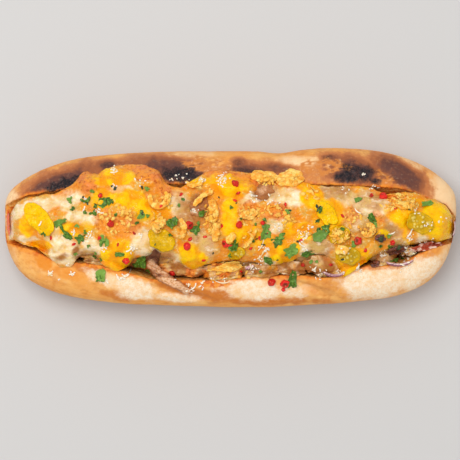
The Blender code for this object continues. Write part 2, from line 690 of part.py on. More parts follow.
def shred(spec, ground):
    x, y, length, turn = spec
    bm = bmesh.new()
    bmesh.ops.create_cube(bm, size=1.0)
    bmesh.ops.scale(bm, vec=(length, SHRED_WIDTH, SHRED_WIDTH), verts=bm.verts)
    return tilted(bm, x, y, ground.height(x, y) + SHRED_WIDTH / 2.0 - SHRED_SINK, turn, ground)


def clear_of(bm, neighbours):
    """True if every point of a small shape keeps its distance from the neighbours."""
    return all(neighbours.nearest(vert.co) > SMALL_CLEARANCE for vert in bm.verts)


def keep_largest_body(obj):
    """Drops loose scraps that a union left."""
    bm = bmesh.new()
    bm.from_mesh(obj.data)
    left = set(bm.verts)
    bodies = []
    while left:
        found, body = [left.pop()], []
        while found:
            vert = found.pop()
            body.append(vert)
            for edge in vert.link_edges:
                other = edge.other_vert(vert)
                if other in left:
                    left.remove(other)
                    found.append(other)
        bodies.append(body)
    bodies.sort(key=len)
    scraps = [vert for body in bodies[:-1] for vert in body]
    bmesh.ops.delete(bm, geom=scraps, context="VERTS")
    bm.to_mesh(obj.data)
    bm.free()


def fuse_small_toppings(host, shapes, neighbours):
    """Joins the small shapes that are clear of the neighbours to their host."""
    group = new_collection(host.name + "_toppings")
    for number, bm in enumerate(shapes):
        if clear_of(bm, neighbours):
            add_object(f"{host.name}_bit_{number:02d}", bm, "melt", group)
        else:
            bm.free()
    apply_boolean(host, "UNION", collection=group)
    for obj in list(group.objects):
        bpy.data.objects.remove(obj, do_unlink=True)
    bpy.data.collections.remove(group)
    keep_largest_body(host)


def make_toppings(parts, ground, neighbours):
    """Every topping that is a piece of its own, from the lowest up."""

    def add(name, bm, finish):
        obj = add_object(name, bm, finish, parts)
        ground.add(obj)
        neighbours.add(obj)

    for number, spec in enumerate(BACON, 1):
        bm = drape_piece(spec, BACON_THICKNESS, DRAPE_CELLS, ground, BACON_UNEVENNESS)
        add(f"bacon_piece_{number}", bm, "bacon")
    for number, spec in enumerate(PICKLES, 1):
        bm = drape_piece(spec, PICKLE_THICKNESS, DRAPE_CELLS, ground, PICKLE_UNEVENNESS)
        add(f"pickle_slice_{number}", bm, "pickle")
    bm = drape_piece(ONION_CHIP, CHIP_THICKNESS, DRAPE_CELLS, ground, CHIP_UNEVENNESS)
    add("onion_chip", bm, "fried_onion")
    for number, spec in enumerate(BROWNED_ONIONS, 1):
        bm = drape_piece(spec, BROWNED_THICKNESS, BROWNED_CELLS, ground, BROWNED_UNEVENNESS)
        add(f"browned_onion_{number}", bm, "browned_onion")
    size = (RASHER_WIDTH, BACON_THICKNESS, RASHER_CELLS)
    bm = strip(rasher_line, *size, ground, RASHER_CURL, RASHER_SPREAD)
    add("bacon_rasher", bm, "bacon")
    for number, spec in enumerate(RED_ONIONS, 1):
        bm = strip(arc_line(spec), spec[3], RED_THICKNESS, RED_CELLS, ground, RED_CURL, RED_SPREAD)
        add(f"red_onion_{number}", bm, "red_onion")
    for number, spec in enumerate(FRIED_ONIONS, 1):
        bm = strip(arc_line(spec), spec[3], FRIED_THICKNESS, FRIED_CELLS, ground, FRIED_CURL)
        add(f"fried_onion_{number:02d}", bm, "fried_onion")


def main():
    clear_scene()
    parts, cutters = new_collection("hot_dog"), new_collection("cutters")
    draw = random.Random(SEED)
    roll = make_roll(parts, cutters)
    sausage = add_object(
        "sausage", sphere_skin(SAUSAGE_AROUND, SAUSAGE_RINGS, sausage_point), "sausage", parts
    )
    melt = add_object("melted_cheese", slab(MELT_COLUMNS, MELT_ROWS, melt_point), "melt", parts)
    ground, pieces, melt_only, roll_only = Ground(), Ground(), Ground(), Ground()
    for obj in (roll, sausage, melt):
        ground.add(obj)
    melt_only.add(melt)
    roll_only.add(roll)
    make_toppings(parts, ground, pieces)
    on_melt = [leaf(spec, melt_only, draw) for spec in LEAVES]
    on_melt += [peppercorn(spec, melt_only) for spec in PEPPERCORNS]
    on_melt += [shred(spec, melt_only) for spec in SHREDS]
    on_roll = [leaf(spec, roll_only, draw) for spec in CRUST_LEAVES]
    on_roll += [peppercorn(spec, roll_only) for spec in CRUST_PEPPERCORNS]
    near_melt, near_roll = Ground(), Ground()
    near_melt.trees = pieces.trees + roll_only.trees
    near_roll.trees = pieces.trees + melt_only.trees
    fuse_small_toppings(melt, on_melt, near_melt)
    fuse_small_toppings(roll, on_roll, near_roll)


main()
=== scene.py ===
"""The looks of a loaded hot dog: baked roll, sausage, melted cheese and toppings.

The sizes and places below are millimetres in the part's own frame: +X runs along the
roll, +Y points to its far side and Z is the height above the table. MM turns them into
metres. The first tables and functions give the forms of the part's solids at a finer
step, with a melt that is up to 2 mm wider near its two ends. The rest dresses them.
"""

import json
import math
import random

import bmesh
import bpy
import numpy as np
from mathutils import Matrix, Vector, noise
from mathutils.bvhtree import BVHTree

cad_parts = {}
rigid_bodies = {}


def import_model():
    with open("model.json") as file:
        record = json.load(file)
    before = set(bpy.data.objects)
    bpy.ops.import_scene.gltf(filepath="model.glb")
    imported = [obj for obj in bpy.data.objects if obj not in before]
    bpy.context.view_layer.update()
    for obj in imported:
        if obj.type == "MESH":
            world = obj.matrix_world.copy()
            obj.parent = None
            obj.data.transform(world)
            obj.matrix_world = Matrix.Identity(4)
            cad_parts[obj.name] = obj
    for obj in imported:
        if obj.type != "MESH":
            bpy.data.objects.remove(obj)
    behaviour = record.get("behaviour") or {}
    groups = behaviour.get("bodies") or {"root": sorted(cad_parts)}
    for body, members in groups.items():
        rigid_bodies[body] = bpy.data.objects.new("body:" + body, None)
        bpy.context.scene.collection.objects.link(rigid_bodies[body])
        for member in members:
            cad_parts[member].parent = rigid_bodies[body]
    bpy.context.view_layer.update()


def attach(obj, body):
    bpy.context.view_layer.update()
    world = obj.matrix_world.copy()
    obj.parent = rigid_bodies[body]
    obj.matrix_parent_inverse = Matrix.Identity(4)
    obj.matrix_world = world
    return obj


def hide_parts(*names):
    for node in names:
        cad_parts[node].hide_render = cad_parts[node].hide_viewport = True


bl_info = {
    "name": "Loaded hot dog",
    "version": (1, 0, 0),
    "blender": (4, 5, 0),
    "location": "3D View > Sidebar > Hot dog",
    "description": "Models and dresses a hot dog with melted cheese and toppings",
    "category": "Add Mesh",
}

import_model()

MM = 0.001
SEED = 7
# Where rays down on the ground start, how far about a place it is felt, and the steepest lean
RAY_START = 90.0
SPREAD = 1.2
STEEPEST = 1.2
# Keeps the masks' noise off the planes where it is zero
LAYER_SHIFT = 0.37

# The roll: half sizes, how its outline tapers to each end, and how its middle line shifts
HALF_LENGTH = 120.0
HALF_WIDTH = 41.3
LEFT_TAPER = (3.05, 3)
RIGHT_TAPER = (5.2, 2.2)
HEIGHT_TAPER = (3.6, 2.2)
WIDEST_Z = 20.0
RISE = 27.5
DROP = 21.3
ROUNDNESS = 2.7
AXIS_Y = -0.55
AXIS_SHIFT_RIGHT = 1.6
AXIS_SHIFT_FROM = 20.0
AXIS_SHIFT_OVER = 60.0
TIP_SHIFT_LEFT = 5.0
TIP_SHIFT_RIGHT = 9.0
TIP_POWER = 24
# Where its two edges swell or draw in: (x, reach, rise)
FAR_SWELLINGS = ((56, 24, 1), (26, 9, -1.3), (-85, 18, 0.6))
NEAR_SWELLINGS = ((8, 26, 0.6), (-85, 20, 0.5))
CRUST_UNEVENNESS = 0.5
CRUST_UNEVEN_SIZE = 13.0

# Splits that opened in the crust: (x1, y1, x2, y2)
CRUST_SPLITS = (
    (-45, -30.5, -9, -38), (31, -28.5, 58, -37.5),
    (5, 30.5, 26, 35), (72, 34, 90, 25),
)
SPLIT_HALF_WIDTH = 2.6

# The cut: (x, y) of its two lips, seen from above, and (x, height) of its floor
FAR_LIP = (
    (-122, 11), (-114, 14.5), (-106, 16.7), (-89, 19.3), (-69, 21.5), (-24, 22.5),
    (37, 22), (77, 21), (90, 19.9), (103, 14.8), (113, 12), (117, 8), (122, 3),
)
NEAR_LIP = (
    (-122, -8), (-109, -10.3), (-103, -12), (-95, -15.5), (-80, -18.3), (-69, -19.2),
    (-53, -23.6), (-37, -27.2), (-16, -27.8), (21, -25), (37, -25), (48, -26.2),
    (63, -22.5), (73, -19.8), (88, -19.2), (100, -13.2), (111, -9.3), (122, -8),
)
CUT_FLOOR = ((-122, 20), (-100, 14.5), (-80, 13.5), (80, 13.5), (100, 14.5), (122, 20))
NEAR_WALL_POWER = 6.0
FAR_WALL_POWER = 2.3
LIP_EDGE = 2.5

# The sausage: its line from above, which is also the line of the cut's floor
SAUSAGE_LINE = (
    (-122, 2.5), (-108, 2.5), (-96, 0.5), (-80, -1.5), (-66, -2.8), (-50, -7), (-34, -9.9),
    (-12, -9.9), (20, -7.9), (34, -7.7), (47, -8.4), (60, -5.6), (72, -3), (82, -2), (96, 0),
    (110, 1.5), (122, -2),
)
SAUSAGE_RADIUS = 15.0
SAUSAGE_HALF_LENGTH = 96.0
SAUSAGE_Z = 29.7
SAUSAGE_TAPER = (12, 2.1)
# How much wider than the sausage the melt's hood over it is
HOOD_FAR = 3.5
HOOD_NEAR = 1.2

# The melted cheese: (x, y) of its two edges, seen from above
MELT_FAR = (
    (-118, 6), (-111.6, 13.7), (-106, 15.9), (-101, 16.5), (-89, 18.8), (-82, 23.5),
    (-76, 29.3), (-70, 28), (-64, 31.5), (-52, 33), (-45, 32.8), (-38, 29.5), (-33, 23),
    (-27, 20.5), (-21, 24), (-13, 28.5), (-7, 30), (6, 29), (13, 28), (20, 25.5), (32, 25.2),
    (40, 23.4), (50, 21.2), (61, 21.8), (72, 20.8), (80, 18), (85, 17.8), (91, 18.6),
    (97, 17.9), (103, 15.7), (108.5, 13.9), (113, 12.2), (118, 5.5),
)
MELT_NEAR = (
    (-118, -6), (-110, -8.5), (-102, -11), (-98, -13.2), (-92, -18.5), (-88, -20.8), (-84, -20.5),
    (-79, -15.5), (-72, -14.4), (-66, -20), (-60, -22.8), (-54, -20.5), (-50, -16),
    (-42, -14.8), (-34, -16), (-27, -18), (-21, -22), (-14, -20), (-3, -17.8),
    (8, -17.8), (22, -20), (31, -18), (38, -14.8), (48, -14), (54, -18), (59, -25.8),
    (65, -22.5), (70, -18.5), (77, -14.5), (84, -11.4), (96, -10), (108, -8), (118, -5.6),
)
# Its depth over the roll's dome at the edges and in the middle, and how its rim rounds off
MELT_SKIN = 2.2
MELT_CROWN = 4.0
MELT_THINNEST = 1.5
MELT_RIM = 0.8
MELT_HALF_LENGTH = 117.0
MELT_EDGE_POWER = 8
MELT_END_POWER = 16
# Lumps, drips and hollows of the melt: (x, y, reach in x, reach in y, height)
MELT_LUMPS = (
    (-75, 24, 4.5, 5, 3.2), (-64.5, 25, 7, 6, 2.6), (-43, 25.5, 11, 6.5, 4.2),
    (-53, 14, 9, 8, 1.8), (-1, 23, 13, 6, 3.6), (29, 22, 8, 4, 1.6),
    (43, 13.5, 8, 6, 1.4), (23, 8, 5, 5, 1.6), (-75.5, 4, 8, 4.5, 1.4),
    (-42.5, -8, 10, 6, 1.6), (-89, -13, 7, 6.5, 2.6), (-59.5, -15.5, 6, 7, 1.8),
    (-20, -15, 6.5, 7, 2.2), (5, -3, 7, 5, 1.4), (29, -14, 8, 5, 1.8),
    (60, -17, 5, 8, 1.2), (71, -15.5, 5, 4, 1.6), (90, 8, 8, 5, 1.4),
    (109, 2.5, 8, 8, 2.6), (-110, -0.5, 5, 6, 1.6), (66, 14, 13, 6, -0.8),
    (-27, 12, 7, 8, -1.8), (-15, 12, 6, 7, -1.6), (17.5, 17, 5, 6, -1.6),
    (82, -4, 8, 5, -1.2), (-88, 10, 10, 6, -0.8), (58, 1, 8, 6, 0.8),
)
# How far inside each lip the melt bridges down from it, and its clearances
NEAR_LIP_BRIDGE = 3.0
FAR_LIP_BRIDGE = 5.5
LIP_MARGIN = 0.5
BED_GAP = 0.25

# Draped pieces: (x, y, length, width, turn in degrees)
PICKLES = (
    (-100, 4.5, 21, 11, -48), (-36, -6.5, 15, 11, -35),
    (3, -13.5, 9, 7, 20), (49.5, 7.5, 15, 9, -50), (56.5, -3.8, 11, 9, 30),
    (61, -14.5, 13, 10, -15), (99, 2.5, 15, 11, -20),
)
BACON = ((-16, 11.5, 12, 9, 70), (17.5, 19, 11, 8, 50))
ONION_CHIP = (-3, -21, 18, 8, 9)
BROWNED_ONIONS = (
    (78, -5.5, 6, 3.6, -10), (75.5, -19, 5, 3.6, 30), (87, -12, 11, 4.2, 15),
)

# Strips along an arc: (x, y, length, width, turn and bend in degrees). Two curls of fried onion
# by the far lip have no bend, because they are rounded humps.
FRIED_ONIONS = (
    (-37, 14.5, 19, 3, 10, 250), (-37.5, 2, 8, 5, 40, 40),
    (-18.5, 23.5, 12, 2.2, 15, 150), (-14.5, 15.5, 13, 2.6, 38, -60),
    (-9.3, 8.5, 12, 4.2, 96, 50), (-7.5, -2.5, 10, 4, 84, -50),
    (-25, -0.8, 11, 2.8, 92, 60), (0, -5.5, 6, 4, 50, 30),
    (10.5, -5.5, 12, 2, 60, 35), (9.5, 7.5, 9, 4.5, 10, 70),
    (17.6, 26.6, 15.5, 6.6, -6), (31.4, 25.8, 15, 9.4, 6),
    (57.5, -11.5, 7, 4, 0, 30), (71.5, -1.5, 13, 2.6, 60, 270),
    (90, 12.5, 12, 4.4, -12, 60),
)
HUMPED = (11, 12)
RED_ONIONS = (
    (53.5, -24.4, 11, 1.6, -4, 60), (88.5, -18.6, 15, 1.6, 4, 60),
    (10, -20.8, 5, 2, 20, 30), (118, -0.6, 8, 1.6, 84, 60),
)
RASHER_LINE = ((-37.5, -12.5), (-41, -19.5), (-33, -27), (-21.5, -33.5))
RASHER_WIDTH = 5.0
GAP = 0.25


def smooth_through(points, x):
    """The values at x of a smooth curve through the points, without overshoot."""
    at, value = np.array(points, float).T
    steps = np.diff(value) / np.diff(at)
    left, right = steps[:-1], steps[1:]
    total = np.where(left * right > 0.0, left + right, 1.0)
    slope = np.zeros(len(at))
    slope[1:-1] = np.where(left * right > 0.0, 2.0 * left * right / total, 0.0)
    x = np.clip(x, at[0], at[-1])
    k = np.clip(np.searchsorted(at, x, side="right") - 1, 0, len(at) - 2)
    width = at[k + 1] - at[k]
    rise = value[k + 1] - value[k]
    start, end = slope[k] * width, slope[k + 1] * width
    t = (x - at[k]) / width
    return value[k] + t * (start + t * (3 * rise - 2 * start - end + t * (start + end - 2 * rise)))


def ease(low, high, value):
    """Smoothly from 0 at low to 1 at high, also where low is the larger."""
    t = np.clip((value - low) / (high - low), 0.0, 1.0)
    return t * t * (3.0 - 2.0 * t)


def sampled(pattern, x, y, z, size, layer):
    """A pattern's value at each place, with lumps of the size in millimetres."""
    x, y, z = np.broadcast_arrays(x, y, z)
    places = zip(x.ravel() / size, y.ravel() / size, z.ravel() / size + layer)
    return np.array([pattern(Vector(place)) for place in places]).reshape(x.shape)


def grain(x, y, z, size, layer=0.0):
    """Smooth noise at each place, about -1 to 1."""
    return sampled(noise.noise, x, y, z, size, layer)


def cells(x, y, z, size, layer):
    """Rounded blisters: 0 in the creases, 1 on top."""
    near = sampled(lambda place: noise.voronoi(place)[0][0], x, y, z, size, layer)
    return 1.0 - np.clip(near * 1.6, 0.0, 1.0) ** 2


def taper(x, shape, half_length=HALF_LENGTH):
    """How full a long form is at x: 1 in the middle and 0 at its two ends."""
    power, root = shape
    reach = np.minimum(1.0, np.abs(x) / half_length)
    return (1.0 - reach**power) ** (1.0 / root)


def axis_y(x):
    """The middle of the roll's outline."""
    reach = np.minimum(1.0, np.abs(x) / HALF_LENGTH)
    right = AXIS_SHIFT_RIGHT * ease(AXIS_SHIFT_FROM, AXIS_SHIFT_FROM + AXIS_SHIFT_OVER, x)
    return AXIS_Y + right + np.where(x > 0, TIP_SHIFT_RIGHT, TIP_SHIFT_LEFT) * reach**TIP_POWER


def half_width(x, side):
    """From the axis to the far (side above 0) or near edge of the outline."""

    def swollen(table):
        return HALF_WIDTH + sum(rise * np.exp(-(((x - at) / reach) ** 2)) for at, reach, rise in table)

    width = np.where(side > 0, swollen(FAR_SWELLINGS), swollen(NEAR_SWELLINGS))
    return width * np.where(x > 0, taper(x, RIGHT_TAPER), taper(x, LEFT_TAPER))


def dome(x, y):
    """Height of the uncut roll's upper skin."""
    offset = y - axis_y(x)
    reach = np.clip(np.abs(offset) / np.maximum(half_width(x, offset), 0.001), 0.0, 1.0)
    height = RISE * taper(x, HEIGHT_TAPER) * (1.0 - reach**ROUNDNESS) ** (1.0 / ROUNDNESS)
    uneven = CRUST_UNEVENNESS * grain(x, y, 0.0, CRUST_UNEVEN_SIZE, 3.0)
    return WIDEST_Z + height + uneven * np.maximum(0.0, 1.0 - reach**4)


def cut_surface(x, y):
    """Height of the walls and the floor of the cut."""
    middle = smooth_through(SAUSAGE_LINE, x)
    near = y < middle
    lip = np.where(near, smooth_through(NEAR_LIP, x), smooth_through(FAR_LIP, x))
    power = np.where(near, NEAR_WALL_POWER, FAR_WALL_POWER)
    reach = np.minimum(1.0, np.abs(y - middle) / np.abs(lip - middle))
    floor = smooth_through(CUT_FLOOR, x)
    return floor + (dome(x, lip) - LIP_EDGE - floor) * reach**power


def sausage_radius(x):
    return SAUSAGE_RADIUS * taper(x, SAUSAGE_TAPER, SAUSAGE_HALF_LENGTH)


def sausage_cover(x, y):
    """Height of a hood over the sausage, a little wider than it."""
    radius = sausage_radius(x)
    offset = y - smooth_through(SAUSAGE_LINE, x)
    hood = radius + np.where(offset > 0, HOOD_FAR, HOOD_NEAR)
    reach = np.minimum(1.0, np.abs(offset) / hood)
    return np.where(reach < 1.0, SAUSAGE_Z + radius * np.sqrt(1.0 - reach**2), 0.0)


def bed(x, y):
    """Height that the melted cheese keeps above: the roll, its cut and the sausage."""
    near_lip, far_lip = smooth_through(NEAR_LIP, x), smooth_through(FAR_LIP, x)
    inside = (y > near_lip) & (y < far_lip)
    highest = np.where(inside, np.maximum(cut_surface(x, y), sausage_cover(x, y)), dome(x, y))
    by_near = ease(NEAR_LIP_BRIDGE, NEAR_LIP_BRIDGE - 1.5, y - near_lip) * inside
    by_far = ease(FAR_LIP_BRIDGE, FAR_LIP_BRIDGE - 2.0, far_lip - y) * inside
    for share, lip in ((by_near, near_lip), (by_far, far_lip)):
        bridge = dome(x, lip) + LIP_MARGIN
        highest = np.maximum(highest, highest + share * (bridge - highest))
    return highest + BED_GAP


def melt_height(x, y):
    """Height of the melted cheese before its fine relief."""
    near, far = smooth_through(MELT_NEAR, x), smooth_through(MELT_FAR, x)
    across = (2.0 * y - near - far) / (far - near)
    height = dome(x, y) + MELT_SKIN + MELT_CROWN * (1.0 - across * across)
    for at_x, at_y, reach_x, reach_y, rise in MELT_LUMPS:
        height = height + rise * np.exp(-(((x - at_x) / reach_x) ** 2) - ((y - at_y) / reach_y) ** 2)
    return height


def blotch(x, y, spots, ragged, size, layer, fade=0.3):
    """Mask from 0 to 1 of soft ellipses with uneven edges.

    A spot is (x, y, half length, half width, turn in degrees, strength).
    """
    layer = layer + LAYER_SHIFT
    wobble = ragged * (grain(x, y, 0.0, size, layer) + 0.5 * grain(x, y, 0.0, size / 2.5, layer + 7.0))
    mask = np.zeros(np.shape(x))
    for at_x, at_y, long, wide, turn, strength in spots:
        cosine, sine = math.cos(math.radians(turn)), math.sin(math.radians(turn))
        along = ((x - at_x) * cosine + (y - at_y) * sine) / long
        across = ((y - at_y) * cosine - (x - at_x) * sine) / wide
        mask = np.maximum(mask, strength * ease(1.0 + fade, 1.0 - fade, np.hypot(along, across) + wobble))
    return mask


# ---------------------------------------------------------------- meshes


def new_object(name, bm, material):
    """Turns a bmesh in metres into a smooth-shaded object of the scene."""
    mesh = bpy.data.meshes.new(name)
    bm.to_mesh(mesh)
    bm.free()
    mesh.shade_smooth()
    mesh.materials.append(material)
    obj = bpy.data.objects.new(name, mesh)
    bpy.context.scene.collection.objects.link(obj)
    return obj


def unit_tube(bm, around, along):
    """A ball with its poles on the X axis, for what is long and round."""
    turn = Matrix.Rotation(math.pi / 2.0, 4, "Y")
    made = bmesh.ops.create_uvsphere(bm, u_segments=around, v_segments=along, radius=1.0, matrix=turn)
    return made["verts"]


def points_of(obj, unit=MM):
    """The places of an object's vertices as arrays x, y and z, in millimetres or another unit."""
    flat = np.empty(len(obj.data.vertices) * 3, np.float32)
    obj.data.vertices.foreach_get("co", flat)
    return flat.reshape(-1, 3).astype(float).T / unit


def move_points(obj, x, y, z):
    """Puts the vertices at places in millimetres."""
    flat = np.stack((x, y, z), axis=1) * MM
    obj.data.vertices.foreach_set("co", flat.astype(np.float32).ravel())
    obj.data.update()


def raise_relief(obj, relief, where=True):
    """Moves each vertex out along its normal by the relief in millimetres."""
    mesh = obj.data
    normals = np.empty(len(mesh.vertices) * 3, np.float32)
    mesh.vertex_normals.foreach_get("vector", normals)
    x, y, z = points_of(obj) + normals.reshape(-1, 3).T * np.where(where, relief, 0.0)
    move_points(obj, x, y, z)
    return x, y, z


def face_outwards(obj):
    bm = bmesh.new()
    bm.from_mesh(obj.data)
    bmesh.ops.recalc_face_normals(bm, faces=bm.faces)
    bm.to_mesh(obj.data)
    bm.free()


def set_masks(obj, **masks):
    """Keeps values from 0 to 1, one for all vertices or one for each, for the finish to read."""
    for name, values in masks.items():
        attribute = obj.data.attributes.new(name, "FLOAT", "POINT")
        values = np.broadcast_to(np.clip(values, 0.0, 1.0), len(attribute.data))
        attribute.data.foreach_set("value", values.astype(np.float32))


def slab_object(name, columns, rows, place, material):
    """A closed slab from a grid: place(a, b) gives x, y, low and high arrays.

    Returns it with the grid's own coordinates and which vertices are on top.
    """
    bm = bmesh.new()
    bmesh.ops.create_grid(bm, x_segments=columns, y_segments=rows, size=1.0)
    made = bmesh.ops.extrude_face_region(bm, geom=list(bm.faces), use_keep_orig=True)
    for item in made["geom"]:
        if isinstance(item, bmesh.types.BMVert):
            item.co.z = 1.0
    obj = new_object(name, bm, material)
    a, b, side = points_of(obj, 1.0)
    x, y, low, high = place(a, b)
    move_points(obj, x, y, np.where(side > 0.5, high, low))
    face_outwards(obj)
    return obj, a, b, side > 0.5


class Ground:
    """The finished pieces, and how high they stand at a place in millimetres."""

    def __init__(self, *names):
        self.trees = []
        self.add(*(bpy.data.objects[name] for name in names))

    def add(self, *objects):
        for obj in objects:
            faces = [tuple(face.vertices) for face in obj.data.polygons]
            self.trees.append(BVHTree.FromPolygons(list(zip(*points_of(obj))), faces))

    def height(self, x, y):
        highest = 0.0
        for tree in self.trees:
            hit = tree.ray_cast(Vector((x, y, RAY_START)), Vector((0.0, 0.0, -1.0)))[0]
            if hit:
                highest = max(highest, hit.z)
        return highest

    def heights(self, x, y, spread=SPREAD):
        """The highest point under a small patch about each place."""
        x, y = np.ravel(x), np.ravel(y)
        found = np.array([self.height(*place) for place in zip(x, y)])
        for angle in np.arange(6) * math.pi / 3.0:
            places = zip(x + spread * math.cos(angle), y + spread * math.sin(angle))
            found = np.maximum(found, [self.height(*place) for place in places])
        return found

    def lean(self, x, y):
        """The turn that leans a flat thing with the surface at a place."""
        slope_x = (self.height(x + SPREAD, y) - self.height(x - SPREAD, y)) / (2.0 * SPREAD)
        slope_y = (self.height(x, y + SPREAD) - self.height(x, y - SPREAD)) / (2.0 * SPREAD)
        slopes = [min(STEEPEST, max(-STEEPEST, slope)) for slope in (slope_x, slope_y)]
        normal = Vector((-slopes[0], -slopes[1], 1.0)).normalized()
        return Vector((0.0, 0.0, 1.0)).rotation_difference(normal).to_matrix().to_4x4()


# ---------------------------------------------------------------- finishes


def colour(code):
    """A colour from its six-digit code, as linear red, green and blue."""
    parts = [int(code[k:k + 2], 16) / 255.0 for k in (0, 2, 4)]
    return tuple(part / 12.92 if part <= 0.04045 else ((part + 0.055) / 1.055) ** 2.4 for part in parts)


class Finish:
    """Builds the node tree of one material, or of a node group."""

    def __init__(self, name=None, tree=None):
        if name:
            self.material = bpy.data.materials.new(name)
            self.material.use_nodes = True
            tree = self.material.node_tree
            self.shader = tree.nodes["Principled BSDF"]
        self.nodes, self.links = tree.nodes, tree.links

    def node(self, kind, inputs=None, **settings):
        made = self.nodes.new("ShaderNode" + kind)
        for key, value in settings.items():
            setattr(made, key, value)
        for key, value in (inputs or {}).items():
            self.feed(made.inputs[key], value)
        return made

    def feed(self, socket, value):
        """Sets a socket to a number or a colour, or links it to another socket."""
        if isinstance(value, bpy.types.NodeSocket):
            self.links.new(value, socket)
        elif socket.type == "RGBA":
            socket.default_value = (*value, 1.0)
        else:
            socket.default_value = value

    def place(self):
        return self.node("TexCoord").outputs["Object"]

    def mask(self, name):
        return self.node("Attribute", attribute_name=name).outputs["Fac"]

    def texture(self, kind, size, stretch=(1.0, 1.0, 1.0), **inputs):
        """A texture of the part's own space, with lumps of the size in millimetres."""
        mapped = self.node("Mapping", {"Vector": self.place(), "Scale": stretch})
        inputs = {"Vector": mapped.outputs[0], "Scale": 1.0 / (size * MM), **inputs}
        return self.node("Tex" + kind, inputs).outputs

    def noise(self, size, detail, roughness=0.5, stretch=(1.0, 1.0, 1.0)):
        return self.texture("Noise", size, stretch, Detail=detail, Roughness=roughness)["Fac"]

    def ramp(self, value, low, high, to_low=0.0, to_high=1.0):
        limits = {"From Min": low, "From Max": high, "To Min": to_low, "To Max": to_high}
        return self.node("MapRange", {"Value": value, **limits}, interpolation_type="SMOOTHSTEP").outputs[0]

    def math(self, operation, first, second):
        return self.node("Math", {0: first, 1: second}, operation=operation).outputs[0]

    def times(self, value, factor):
        return self.math("MULTIPLY", value, factor)

    def mix(self, factor, first, second):
        return self.node("Mix", {0: factor, 6: first, 7: second}, data_type="RGBA").outputs[2]

    def ragged(self, mask, size, amount, softness):
        """The mask with its edges broken up by fine noise."""
        inputs = {"Mask": mask, "Lumps": 1.0 / (size * MM), "Amount": amount, "Softness": softness}
        return self.node("Group", inputs, node_tree=ragged_group()).outputs["Mask"]

    def tint(self, base, over, value, low, high, amount=1.0):
        """The base with a second colour over it where the value is nearer to high than to low."""
        return self.mix(self.ramp(value, low, high, 0.0, amount), base, over)

    def cover(self, base, over, mask, size, amount, softness):
        """The base with a second colour over it inside a mask with ragged edges."""
        return self.mix(self.ragged(self.mask(mask), size, amount, softness), base, over)

    def finish(self, base, bump, depth, roughness, *groups):
        """Links colour, relief and gloss to the shader and returns the material.

        Two numbers for the roughness follow the relief. The depth is in millimetres, and the
        groups hold more of the shader's settings.
        """
        inputs = {"Base Color": base, "Roughness": roughness}
        if isinstance(roughness, tuple):
            inputs["Roughness"] = self.ramp(bump, 0.3, 0.7, *roughness)
        if bump is not None:
            relief = self.node("Bump", {"Height": bump, "Strength": 1.0, "Distance": depth * MM})
            inputs["Normal"] = relief.outputs[0]
        for group in (inputs, *groups):
            for name, value in group.items():
                self.feed(self.shader.inputs[name], value)
        return self.material


def oily(look, coat, coat_roughness, level=0.3):
    """Settings of a warm gloss under a thin clear coat."""
    coat = {"Coat Weight": coat, "Coat Roughness": coat_roughness}
    return {**coat, "Specular IOR Level": level, "Specular Tint": look.warm_gloss}


def soft(weight, radius, depth):
    """Settings that let light a little way in, to the depth in millimetres."""
    return {"Subsurface Weight": weight, "Subsurface Radius": radius, "Subsurface Scale": depth * MM}


def ragged_group():
    """Node group that breaks up a mask's edge: used wherever one finish meets another."""
    group = bpy.data.node_groups.get("ragged edge")
    if group:
        return group
    group = bpy.data.node_groups.new("ragged edge", "ShaderNodeTree")
    for name, value in (("Mask", 0.0), ("Lumps", 600.0), ("Amount", 0.8), ("Softness", 0.25)):
        socket = group.interface.new_socket(name=name, in_out="INPUT", socket_type="NodeSocketFloat")
        socket.default_value = value
    group.interface.new_socket(name="Mask", in_out="OUTPUT", socket_type="NodeSocketFloat")
    tree = Finish(tree=group)
    given = group.nodes.new("NodeGroupInput").outputs
    result = group.nodes.new("NodeGroupOutput")
    inputs = {"Vector": tree.place(), "Scale": given["Lumps"], "Detail": 4.0, "Roughness": 0.6}
    made = tree.node("TexNoise", inputs)
    wobble = tree.times(tree.math("SUBTRACT", made.outputs["Fac"], 0.5), given["Amount"])
    value = tree.math("ADD", given["Mask"], wobble)
    sharp = tree.node("MapRange", {"Value": value}, interpolation_type="SMOOTHSTEP")
    tree.feed(sharp.inputs["From Min"], tree.math("SUBTRACT", 0.5, given["Softness"]))
    tree.feed(sharp.inputs["From Max"], tree.math("ADD", 0.5, given["Softness"]))
    tree.feed(result.inputs["Mask"], sharp.outputs[0])
    return group


# ---------------------------------------------------------------- the roll

ROLL_AROUND = 220
ROLL_RINGS = 440
# The samples of each half of its section, and how densely the parts out of sight are divided
SIDE_SAMPLES = 360
PROFILE_STEP = 0.4
PROFILE_FEWEST = 24
UNDER_DENSITY = 0.4
HIDDEN_DENSITY = 0.5
# The lips keep this share of the width off the outline, and the cut's middle off the lips
LIP_INSET = 0.03
MIDDLE_INSET = 0.15
LIP_ROUNDING = 1.0
# The relief keeps the widest line and the two tips this far inside the part's box
SIDE_INSET = 0.3
TIP_INSET = 0.2

